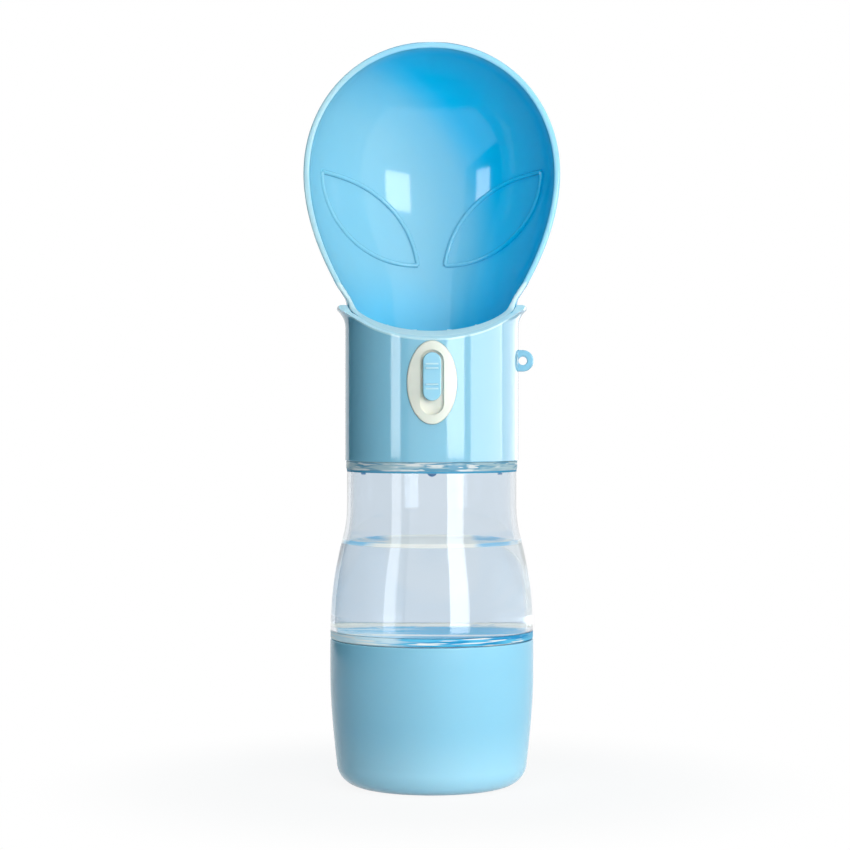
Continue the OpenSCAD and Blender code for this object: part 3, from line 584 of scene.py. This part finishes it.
# The slope is cut, and then the window and the seat of the bezel
slope = block((200, 200, 100), (0, -COLLAR_R, LIP_Z + 50))
edit(slope)
bpy.ops.transform.rotate(value=-radians(LIP_SLOPE), orient_axis="X",
                         center_override=(0, -COLLAR_R / 1000, LIP_Z / 1000))
bpy.ops.object.mode_set(mode="OBJECT")
fuse(collar, slope, "DIFFERENCE")
fuse(collar, oval_block("window", BEZEL_W - FRAME_W, BEZEL_H - FRAME_W, AHEAD, -20), "DIFFERENCE")
seat = oval_block("seat", BEZEL_W + SEAT_GAP, BEZEL_H + SEAT_GAP, AHEAD, -20)
seat_back = [(0, 120)] + [(COLLAR_R - 0.9, 120 + 2 * i) for i in range(26)] + [(0, 170)]
fuse(seat, turned("seat_back", seat_back), "DIFFERENCE")
fuse(collar, seat, "DIFFERENCE")


def lip_height(y):
    """Height of the sloping lip, which rises from the front to the back."""
    return LIP_Z + tan(radians(LIP_SLOPE)) * (y + COLLAR_R)


def on_the_lip(at, e):
    """Along the outer edge of the slope."""
    ends = [v.co * 1000 for v in e.verts]
    return at.xy.length > COLLAR_R - 0.1 and all(abs(end.z - lip_height(end.y)) < 0.02 for end in ends)


round_edges(collar, 0.5, on_the_lip, steps=3, clamp=True)
crisp(collar, 35)


def paint_highlight(plastic, mask, pale=paint(198, 230, 240)):
    """Paints a highlight: the colour turns paler where the mask is 1, as if lit."""
    plastic.feed(Base_Color=plastic.tint(mask, plastic.shade, pale))


collar_blue = blue_plastic("collar_blue", BLUE, 0.08)
x, y, z = collar_blue.place()
# Painted highlight: the sloping lip and the top of the flare are painted paler, where they face up to the
# light
on_lip = collar_blue.between(z - lip_height(y), -0.9, -0.3)
on_top = collar_blue.between(z, COLLAR_TOP - 1.4, COLLAR_TOP - 0.5)
paint_highlight(collar_blue, on_lip | on_top)
collar_blue.coat(collar)
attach(collar, "head")
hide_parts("collar")


# Bowl: a deep upright scoop, moulded in one. Its drum sits on a ledge inside the collar, its
# back leans out over the collar, and two thin raised leaf outlines run across its inside.

BOWL_R, BOWL_BACK, BOWL_WALL, BOWL_TOP, RIM_Y, RIM_TURN = 47.2, 37.3, 2.2, 273.4, 6.0, 9.0
BOWL_WIDE, BOWL_DEEP, DRUM_R, CHIN_R = 224.9, 215.2, 30.1, 25.7
BULGE, EASE, BLEND, HOLLOW_CORNER, RIM_LOW = 2.05, 1.88, 1.2, 5.0, 163.0


def ramp(z, low, high):
    """0 below low, 1 above high and a soft slope in between."""
    share = min(1, max(0, (z - low) / (high - low)))
    return share * share * (3 - 2 * share)


def swell(z, out, widest, inset, ahead=0.0):
    """Half width or depth of the bowl at a height: a superellipse above, an easing curve below.
    The inside runs down into the neck in one soft curve."""
    if z > widest:
        up = min(1, (z - widest) / (BOWL_TOP - inset - widest))
        return (out + ahead - inset) * (1 - up ** BULGE) ** (1 / BULGE) - ahead
    neck, low = COLLAR_TOP + THROAT_RISE, COLLAR_TOP - THROAT_DEEP
    flank = out - (out - THROAT_R) * ((widest - z) / (widest - neck)) ** EASE
    if inset == 0:
        return max(flank, DRUM_R + (THROAT_R - DRUM_R) * ramp(z, low - THROAT_TAPER, low))
    drum = DRUM_R + (THROAT_R - DRUM_R) * ramp(z, LEDGE_Z + 2, neck)
    return max(flank, drum) + BLEND * log(1 + exp(-abs(flank - drum) / BLEND)) - inset


def bowl_ring(z, inset, chin, shrink=0.0):
    """Half width, depth behind, depth in front, middle and height of one level ring."""
    middle = -RIM_Y * ramp(z, COLLAR_TOP, COLLAR_TOP + 10)
    return (swell(z, BOWL_R, BOWL_WIDE, inset) - shrink,
            swell(z, BOWL_BACK, BOWL_DEEP, inset, RIM_Y) - middle - shrink,
            chin * (1 - 0.9 * ramp(z, COLLAR_TOP, COLLAR_TOP + 12)) - shrink, middle, z)


def stack(name, rings, tip, sides=144):
    """A closed skin drawn up through level rings, one after another, to a tip."""
    bpy.ops.mesh.primitive_circle_add(vertices=sides, radius=0.001, fill_type="NGON", location=(0, 0, 0))
    piece = bpy.context.object
    piece.name = piece.data.name = name
    edit(piece)
    bpy.ops.transform.rotate(value=pi / sides, orient_axis="Z", center_override=(0, 0, 0))
    bpy.ops.transform.translate(value=(0, rings[0][3] / 1000, rings[0][4] / 1000))
    last = (1.0, 1.0, 1.0, rings[0][3], rings[0][4])
    for ring in rings:
        if ring is not rings[0]:
            pick(piece, "faces", lambda at, f: len(f.verts) > 4 and abs(at.z - last[4]) < 0.005)
            rise = (0, (ring[3] - last[3]) / 1000, (ring[4] - last[4]) / 1000)
            bpy.ops.mesh.extrude_region_move(TRANSFORM_OT_translate={"value": rise})
        for side in (1, 2):
            pick(piece, "verts",
                 lambda at, v: abs(at.z - ring[4]) < 0.005 and (at.y > ring[3]) == (side == 1))
            bpy.ops.transform.resize(value=(ring[0] / last[0], ring[side] / last[side], 1),
                                     center_override=(0, ring[3] / 1000, ring[4] / 1000))
        last = ring
    pick(piece, "faces", lambda at, f: len(f.verts) > 4 and abs(at.z - last[4]) < 0.005)
    bpy.ops.mesh.extrude_region_move(TRANSFORM_OT_translate={"value": (0, 0, (tip[2] - last[4]) / 1000)})
    bpy.ops.mesh.select_mode(type="VERT")
    bpy.ops.mesh.merge(type="CENTER")
    crown = next(v for v in bmesh.from_edit_mesh(piece.data).verts if v.select)
    bpy.ops.transform.translate(value=Vector(tip) / 1000 - crown.co)
    close_up(piece)
    return piece


def ring_heights(low, top, rows=30):
    return ([low + (BOWL_WIDE - low) * i / rows for i in range(rows + 1)]
            + [BOWL_WIDE + (top - BOWL_WIDE) * sin(pi / 2 * i / rows) for i in range(1, rows - 1)])


bowl = stack("bowl_scoop", [bowl_ring(z, 0, DRUM_R) for z in ring_heights(LEDGE_Z, BOWL_TOP)],
             (0, -RIM_Y, BOWL_TOP))
inside = [bowl_ring(LEDGE_Z - 1, BOWL_WALL, CHIN_R, HOLLOW_CORNER)]
for x, z in bow(0, LEDGE_Z + HOLLOW_CORNER, HOLLOW_CORNER, -90, -15, 5):
    inside.append(bowl_ring(z, BOWL_WALL, CHIN_R, HOLLOW_CORNER - x))
for z in ring_heights(LEDGE_Z + HOLLOW_CORNER, BOWL_TOP - BOWL_WALL):
    inside.append(bowl_ring(z, BOWL_WALL, CHIN_R))
fuse(bowl, stack("hollow", inside, (0, -RIM_Y, BOWL_TOP - BOWL_WALL)), "DIFFERENCE")

# The mouth: what stands in front of the upright rim and over the sloping lip is cut away
turn_y = -RIM_Y - RIM_TURN
turn_z = lip_height(turn_y) + RIM_TURN / cos(radians(LIP_SLOPE))
mouth = outline("mouth", [(-100, BOWL_TOP + 5), (-100, lip_height(-100))]
                + bow(turn_y, turn_z, RIM_TURN, LIP_SLOPE - 90, 0, 18)
                + [(-RIM_Y, BOWL_TOP + 5), (-100, BOWL_TOP + 5)], y=-100)
bpy.ops.mesh.select_all(action="SELECT")
bpy.ops.mesh.remove_doubles(threshold=1e-6)
bpy.ops.mesh.edge_face_add()
bpy.ops.mesh.extrude_region_move(TRANSFORM_OT_translate={"value": (0, 0.2, 0)})
close_up(mouth)
mouth.rotation_euler = (0, 0, pi / 2)
bpy.ops.object.transform_apply(location=True, rotation=True, scale=True)
fuse(bowl, mouth, "DIFFERENCE")


def on_the_rim(at, e):
    """Round the mouth, apart from the drum's edge, which lies against the collar."""
    on_drum = at.xy.length > DRUM_R - 0.3 and at.z < COLLAR_TOP and abs(at.z - lip_height(at.y)) < 0.05
    return at.z > RIM_LOW and not on_drum


# The rim is rounded all the way round
edit(bowl)
pick(bowl, "verts", lambda at, v: at.z > RIM_LOW and any(e.calc_face_angle(0) > 0.6 for e in v.link_edges))
bpy.ops.mesh.remove_doubles(threshold=0.00012)
bpy.ops.object.mode_set(mode="OBJECT")
round_edges(bowl, 0.7, on_the_rim, sharp=0.6)

# The floor falls to the spout, and a guide for the tube hangs under it
GUIDE_R, BORE_R, GUIDE_Z, FLOOR_Z, FLOOR_R, SPOUT_Z = 10.25, 7.05, 152.6, 160.1, 26.4, 161.1
floor = turned("bowl_floor", [(BORE_R, GUIDE_Z), (GUIDE_R, GUIDE_Z), (GUIDE_R, FLOOR_Z), (FLOOR_R, FLOOR_Z),
                              (FLOOR_R, LEDGE_Z + 0.4), (25.3, LEDGE_Z + 0.4), (22.4, LEDGE_Z + 0.05),
                              (20.6, LEDGE_Z), (GUIDE_R, SPOUT_Z), (BORE_R, SPOUT_Z)], closed=True)
fuse(bowl, floor)

# Each leaf is two arcs of a rounded bead, laid on the inside from one point to the other
LEAF_OUT, LEAF_IN = (41.0, COLLAR_TOP + 50.5), (5.3, COLLAR_TOP + 16.7)
LEAF_UNDER, LEAF_OVER, BEAD_R, BEAD_LIFT = 38.4, 34.4, 0.85, 0.3


def leaf_arc(start, end, r, steps=40):
    """Points of the arc of radius r that bulges to the left on the way from start to end."""
    gap = Vector(end) - Vector(start)
    aside = Vector((gap.y, -gap.x)).normalized() * sqrt(r * r - gap.length_squared / 4)
    middle = (Vector(start) + Vector(end)) / 2 + aside
    begin, finish = ((Vector(p) - middle) for p in (start, end))
    first, sweep = begin.xy.angle_signed(Vector((1, 0))), finish.angle_signed(begin)
    turns = [first + sweep * i / steps for i in range(steps + 1)]
    return [middle + r * Vector((cos(turn), sin(turn))) for turn in turns]


def on_the_wall(x, z, lift):
    """A place on the bowl's inside, or a little in front of it."""
    width, behind, _, middle, _ = bowl_ring(z, BOWL_WALL + lift, CHIN_R)
    return Vector((x, middle + behind * sqrt(max(0, 1 - (x / width) ** 2)), z)) / 1000


for side in (1, -1):
    for start, end, r in ((LEAF_IN, LEAF_OUT, LEAF_UNDER), (LEAF_OUT, LEAF_IN, LEAF_OVER)):
        line = bpy.data.curves.new("leaf_bead", "CURVE")
        line.dimensions, line.bevel_depth, line.bevel_resolution = "3D", BEAD_R / 1000, 4
        line.use_fill_caps = True
        path = line.splines.new("POLY")
        spots = leaf_arc(start, end, r)
        path.points.add(len(spots) - 1)
        for point, spot in zip(path.points, spots):
            point.co = (*on_the_wall(side * spot.x, spot.y, BEAD_LIFT), 1)
        bead = bpy.data.objects.new("leaf_bead", line)
        bpy.context.collection.objects.link(bead)
        choose(bead)
        bpy.ops.object.convert(target="MESH")
        edit(bead)
        close_up(bead)
        fuse(bowl, bead)
smooth(bowl, 32)

bowl_blue = blue_plastic("bowl_blue", paint(142, 204, 224), 0.08)
x, y, z = bowl_blue.place()

# Painted shade: the inside is painted a darker, more saturated blue towards the right and the foot, beyond an
# arc round its left end, where it lies in shade
ARC_X, ARC_Z = -45.6, 214.0
facing = bowl_blue.add("ShaderNodeSeparateXYZ", {}, {"Vector": bowl_blue.at("Normal")}, 1)
arc = ((x - ARC_X) ** 2 + (z - ARC_Z) ** 2) ** 0.5 + (z - ARC_Z) * 0.14
painted_shade = bowl_blue.between(arc, 38, 66) * 0.35 + bowl_blue.between(arc, 57, 73) * 0.65
painted_shade = painted_shade | bowl_blue.between(z, 196, 166) * 0.5
painted_shade = painted_shade * bowl_blue.between(facing, 0.1, -0.3)
bowl_blue.shade = bowl_blue.tint(painted_shade, bowl_blue.shade, paint(0, 196, 244))

# Painted highlight: its rim is painted paler all the way, upright, in the turn and along the lip
round_turn = ((y - turn_y) ** 2 + (z - turn_z) ** 2) ** 0.5
on_upright = bowl_blue.between(y, 0.8 - RIM_Y, 0.2 - RIM_Y) * bowl_blue.between(z, turn_z - 1, turn_z + 1)
on_turn = bowl_blue.between(round_turn, RIM_TURN + 0.8, RIM_TURN + 0.2)
on_lip = bowl_blue.between(z - lip_height(y), -0.9, -0.3) * bowl_blue.between(y, turn_y + 5, turn_y + 3)
paint_highlight(bowl_blue, on_upright * 0.5 | on_turn | on_lip, paint(218, 242, 248))
bowl_blue.coat(bowl)
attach(bowl, "head")
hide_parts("bowl")


# Switch bezel: an oval frame in cream plastic, set into the front of the collar and bent to its
# curve. The button slides in its sunk track.

BEZEL_OUT, TRACK_Y, TRACK_W, TRACK_H = 32.6, 30.6, 8.6, 23.3
SLOT_W, SLOT_H, SLOT_Z = 3.5, 9.7, 147.2

# A straight block gets a fine mesh on its front, which is then pushed back onto the curve
bezel = oval_block("switch_bezel_oval", BEZEL_W, BEZEL_H, AHEAD, -16, sides=160)
edit(bezel)
pick(bezel, "faces", lambda at, f: at.y < AHEAD + 0.1)
for i in range(5):
    bpy.ops.mesh.inset(thickness=0.001, depth=0)
bpy.ops.object.mode_set(mode="OBJECT")
front_group = bezel.vertex_groups.new(name="front")
front_face = [v.index for v in bezel.data.vertices if v.co.y * 1000 < AHEAD + 0.1]
front_group.add(front_face, 1.0, "REPLACE")
low, high = SWITCH_Z - BEZEL_H * 0.6, SWITCH_Z + BEZEL_H * 0.6
bent = turned("bent_front", [(BEZEL_OUT, low), (BEZEL_OUT, high)], steps=512)
wrap = bezel.modifiers.new("wrap", "SHRINKWRAP")
wrap.target, wrap.wrap_method, wrap.vertex_group = bent, "PROJECT", "front"
wrap.use_project_x, wrap.use_project_y, wrap.use_project_z = False, True, False
wrap.use_positive_direction, wrap.use_negative_direction = True, False
choose(bezel)
bpy.ops.object.modifier_apply(modifier="wrap")
bezel.vertex_groups.clear()
bpy.data.objects.remove(bent)
round_edges(bezel, 0.45, lambda at, e: at.y < -28)

# The inside is hollowed out, and the floor of the track is put back with a slot through it
back_r, back_in = COLLAR_R - 0.8, FRAME_W + SEAT_GAP
inner = turned("bezel_hollow", [(0, low), (back_r, low), (back_r, high), (0, high)], steps=256)
fuse(bezel, inner, "DIFFERENCE")
fuse(bezel, oval_block("bezel_back", BEZEL_W - back_in, BEZEL_H - back_in, -31.5, -29.4))
fuse(bezel, oval_block("track", TRACK_W, TRACK_H, AHEAD, -TRACK_Y, straight=True), "DIFFERENCE")
fuse(bezel, block((SLOT_W, 8, SLOT_H), (0, -30, SLOT_Z)), "DIFFERENCE")
edit(bezel)
close_up(bezel)
crisp(bezel, 40)

cream = Finish("cream_plastic", Roughness=0.36, IOR=1.49, Subsurface_Weight=0.1, Subsurface_Scale=0.002)
speck = cream.grain(2600, 2)
cream.feed(Base_Color=cream.tint(cream.grain(160, 3), paint(228, 226, 212), paint(236, 234, 222)),
           Roughness=0.32 + speck * 0.12)
cream.bump(speck, 0.00003, 0.5)
cream.coat(bezel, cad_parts["carriage"])
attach(bezel, "head")
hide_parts("switch_bezel")


# Button: a blue slide with a thumb valley between two pairs of grip ribs. Its stem goes through
# the slot in the bezel and is screwed to the carriage behind.

BUTTON_Z, BUTTON_W, BUTTON_H, BUTTON_Y = 150.2, 6.5, 17.3, 34.2
VALLEY_R, VALLEY_DEEP, STEM_W, STEM_H = 14.0, 0.8, 3.0, 5.2
GRIP_LIFTS = (-4.4, -2.9, 2.9, 4.4)

button = oval_block("switch_button_slide", BUTTON_W, BUTTON_H, -BUTTON_Y, -TRACK_Y - 0.25,
                    straight=True, sides=64)
edit(button)
bpy.ops.mesh.select_all(action="SELECT")
bpy.ops.transform.translate(value=(0, 0, (BUTTON_Z - SWITCH_Z) / 1000))
bpy.ops.object.mode_set(mode="OBJECT")
valley_y = VALLEY_DEEP - BUTTON_Y - VALLEY_R
valley = rod(VALLEY_R, 20, (0, valley_y, BUTTON_Z), turn=(0, pi / 2, 0), sides=160)
fuse(button, valley, "DIFFERENCE")
round_edges(button, 0.45, lambda at, e: at.y < -TRACK_Y - 1)
for lift in GRIP_LIFTS:
    rib = block((BUTTON_W * 0.72, 1.4, 0.75), (0, 0.68 - BUTTON_Y, BUTTON_Z + lift))
    round_edges(rib, 0.28, lambda at, e: at.y < 0.3 - BUTTON_Y)
    fuse(button, rib)
fuse(button, block((STEM_W, STEM_W, STEM_H), (0, -TRACK_Y, BUTTON_Z - 1)))
crisp(button, 40)

button_blue = blue_plastic("button_blue", paint(158, 213, 236), 0.2)
x, y, z = button_blue.place()
# Painted highlight: the tops of the grip ribs are painted paler
ribs = 0
for lift in GRIP_LIFTS:
    ribs = button_blue.between(abs(z - (BUTTON_Z + lift + 0.1)), 0.38, 0.22) | ribs
in_front = button_blue.between(y, 0.9 - BUTTON_Y, 0.5 - BUTTON_Y)
paint_highlight(button_blue, ribs * button_blue.between(abs(x), 2.4, 2.1) * in_front)
button_blue.coat(button)
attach(button, "switch")
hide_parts("switch_button")


# Valve: a white tube that slides in its guides, with a silicone plug at its foot, two rubber
# rings, and a steel screw, clip and detent spring.

valve_white = Finish("valve_white", IOR=1.49, Subsurface_Weight=0.2, Subsurface_Scale=0.002)
valve_grain = valve_white.grain(1400, 3)
cloud = valve_white.grain(140, 2)
valve_white.feed(Base_Color=valve_white.tint(cloud, paint(226, 231, 234), paint(240, 243, 244)),
                 Roughness=0.34 + valve_grain * 0.1)
valve_white.bump(valve_grain, 0.00003, 0.4)
valve_white.coat(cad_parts["valve_tube"])
silicone.coat(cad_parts["valve_plug"])

rubber = Finish("black_rubber", IOR=1.5)
rubber_grain = rubber.grain(2200, 4)
rubber.feed(Base_Color=rubber.tint(rubber_grain, paint(22, 22, 24), paint(38, 38, 41)),
            Roughness=0.5 + rubber_grain * 0.2)
rubber.bump(rubber_grain, 0.00004, 0.5)
rubber.coat(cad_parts["lower_o_ring"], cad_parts["upper_o_ring"])

steel = Finish("steel", Metallic=1.0)
brushed = steel.grain(500, 5, (1, 1, 12))
steel.feed(Base_Color=steel.tint(brushed, paint(176, 177, 180), paint(205, 206, 208)),
           Roughness=0.24 + brushed * 0.16)
steel.bump(brushed, 0.00002, 0.4)
steel.coat(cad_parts["button_screw"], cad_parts["tube_clip"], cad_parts["detent_spring"])


# Studio: a plain white floor and surround, soft lamps that are screened off so that most of them
# reach only some pieces, and a dark screen on the left. The camera stands level with the collar.

bpy.ops.mesh.primitive_plane_add(size=6, location=(0, 0, 0))
ground = bpy.context.object
ground.name = "ground"


def in_sight(finish):
    """1 where the camera looks, directly, in a mirror or through clear plastic, and 0 for other light."""
    path = finish.tree.nodes.new("ShaderNodeLightPath")
    direct, mirrored, through = (Wire(finish, path.outputs[f"Is {ray} Ray"])
                                 for ray in ("Camera", "Glossy", "Transmission"))
    return direct | mirrored | through


# White paper that shines where it is in sight, a little less round the foot of the bottle
paper = Finish("white_paper", Roughness=1.0)
paper.feed(Base_Color=paper.tint(paper.grain(60, 2), (0.7, 0.7, 0.7), (0.74, 0.74, 0.74)))
far = paper.add("ShaderNodeVectorMath", {"operation": "LENGTH"}, {0: paper.at()}, 1)
away = paper.between(far, 0.06, 0.16)
shine = paper.add("ShaderNodeEmission", {}, {"Color": (1, 1, 1, 1), "Strength": 1.0})
paper.layer(in_sight(paper) * (0.91 + 0.09 * away), shine)
paper.coat(ground)


class Sky(Finish):
    """The surround, which is mixed in the same way."""

    def __init__(self, world):
        world.use_nodes = True
        self.tree = world.node_tree
        self.shader = self.tree.nodes["Background"]


world = bpy.context.scene.world or bpy.data.worlds.new("studio")
bpy.context.scene.world = world
sky = Sky(world)
shown = in_sight(sky)
sky.feed(Strength=0.35 + 0.65 * shown, Color=sky.tint(shown, (0.2, 0.8, 1), (1, 1, 1)))


def soft_lamp(name, bearing, distance, low, high, width, glow, tilt=0.0):
    """A soft box of a given glow that faces the bottle. Its bearing is from the front, in degrees,
    and its lengths are in metres."""
    light = bpy.data.lights.new(name, "AREA")
    light.shape, light.size, light.size_y = "RECTANGLE", width, high - low
    light.energy = glow * pi * width * (high - low)
    lamp = bpy.data.objects.new(name, light)
    bpy.context.collection.objects.link(lamp)
    turn = radians(bearing)
    lamp.location = (distance * sin(turn), -distance * cos(turn), (low + high) / 2)
    lamp.rotation_euler = (pi / 2 - radians(tilt), 0, turn)
    return lamp


def only_on(group, lamps, pieces):
    """Screens lamps off, so that they reach these pieces alone."""
    lit = bpy.data.collections.new(group)
    for piece in pieces:
        lit.objects.link(piece)
    for lamp in lamps:
        lamp.light_linking.receiver_collection = lit


right = soft_lamp("right_strip", 30.6, 0.489, 0.108, 0.274, 0.196, 8)
left = soft_lamp("left_strip", -49, 0.494, 0.108, 0.248, 0.145, 7)
bank = soft_lamp("right_bank", 78, 0.8, 0.0, 0.5, 0.8, 5.5)
far_bank = soft_lamp("right_far_bank", 131, 0.8, 0.0, 0.5, 0.85, 2.4)
tall_right = soft_lamp("tall_right", 31.2, 0.489, 0.03, 0.36, 0.190, 4.2)
tall_left = soft_lamp("tall_left", -49, 0.494, 0.03, 0.36, 0.135, 2.2)
bowl_key = soft_lamp("bowl_key", 50, 0.8, 0.15, 0.75, 0.4, 2.8, tilt=10)
cup_key = soft_lamp("cup_key", 70, 0.8, 0.0, 0.4, 0.4, 4.6)
top_back = soft_lamp("top_back", 180, 0.3, 0.9, 1.3, 0.6, 3, tilt=74)
front = soft_lamp("front_key", 20, 1.2, 0.0, 0.8, 0.8, 5.2, tilt=8)
top = soft_lamp("top_bank", 10, 0.35, 0.8, 1.2, 0.6, 4.0, tilt=65)
back = soft_lamp("back_key", 200, 1.2, 0.0, 0.8, 0.8, 3.4, tilt=8)
switch_key = soft_lamp("switch_key", 62, 0.6, 0.1, 0.3, 0.12, 15)
front.data.color = (1, 0.92, 0.89)

only_on("blue_parts", (right, left), (food_cup, collar, bowl, bezel, button))
only_on("sleeve_parts", (bank, far_bank), (collar, bezel, button))
only_on("clear_parts", (tall_right, tall_left), (bottle_base, bottle, water))
only_on("bowl_part", (bowl_key, top_back), (bowl,))
only_on("cup_part", (cup_key,), (food_cup,))
only_on("all_but_bowl", (top,), (food_cup, collar, bottle_base, bottle, water, ground))
only_on("shell_parts", (back,), (food_cup, collar, bowl))
only_on("switch_parts", (switch_key,), (bezel, button))
for lamp in (bowl_key, cup_key, front, top, top_back, switch_key, back):
    lamp.visible_glossy = lamp.visible_transmission = False
for lamp in (right, left, bank, far_bank):
    lamp.visible_diffuse = False

# A dark screen on the left, which the plastics mirror and the camera doesn't see
bpy.ops.mesh.primitive_grid_add(x_subdivisions=6, y_subdivisions=4, size=1, location=(0, 0, 0))
screen = bpy.context.object
screen.name = "dark_screen"
edit(screen)
bpy.ops.transform.resize(value=(0.7, 1.2, 1))
bpy.ops.transform.rotate(value=pi / 2, orient_axis="Y", center_override=(0, 0, 0))
bpy.ops.transform.translate(value=(-0.4, -0.1, 0.36))
bpy.ops.object.mode_set(mode="OBJECT")
felt = Finish("dark_felt", Roughness=0.95)
felt.feed(Base_Color=felt.tint(felt.grain(300, 3), (0.01, 0.045, 0.06), (0.015, 0.06, 0.08)))
felt.coat(screen)
screen.visible_camera = screen.visible_transmission = False

view = bpy.data.cameras.new("view")
view.lens, view.sensor_width, view.shift_y = 101.94, 36, -25 / 850
camera = bpy.data.objects.new("view", view)
bpy.context.collection.objects.link(camera)
camera.location, camera.rotation_euler = (-0.0025, -0.890, 0.1418), (pi / 2, 0, 0)
bpy.context.scene.camera = camera
bpy.context.scene.view_settings.view_transform = "Standard"
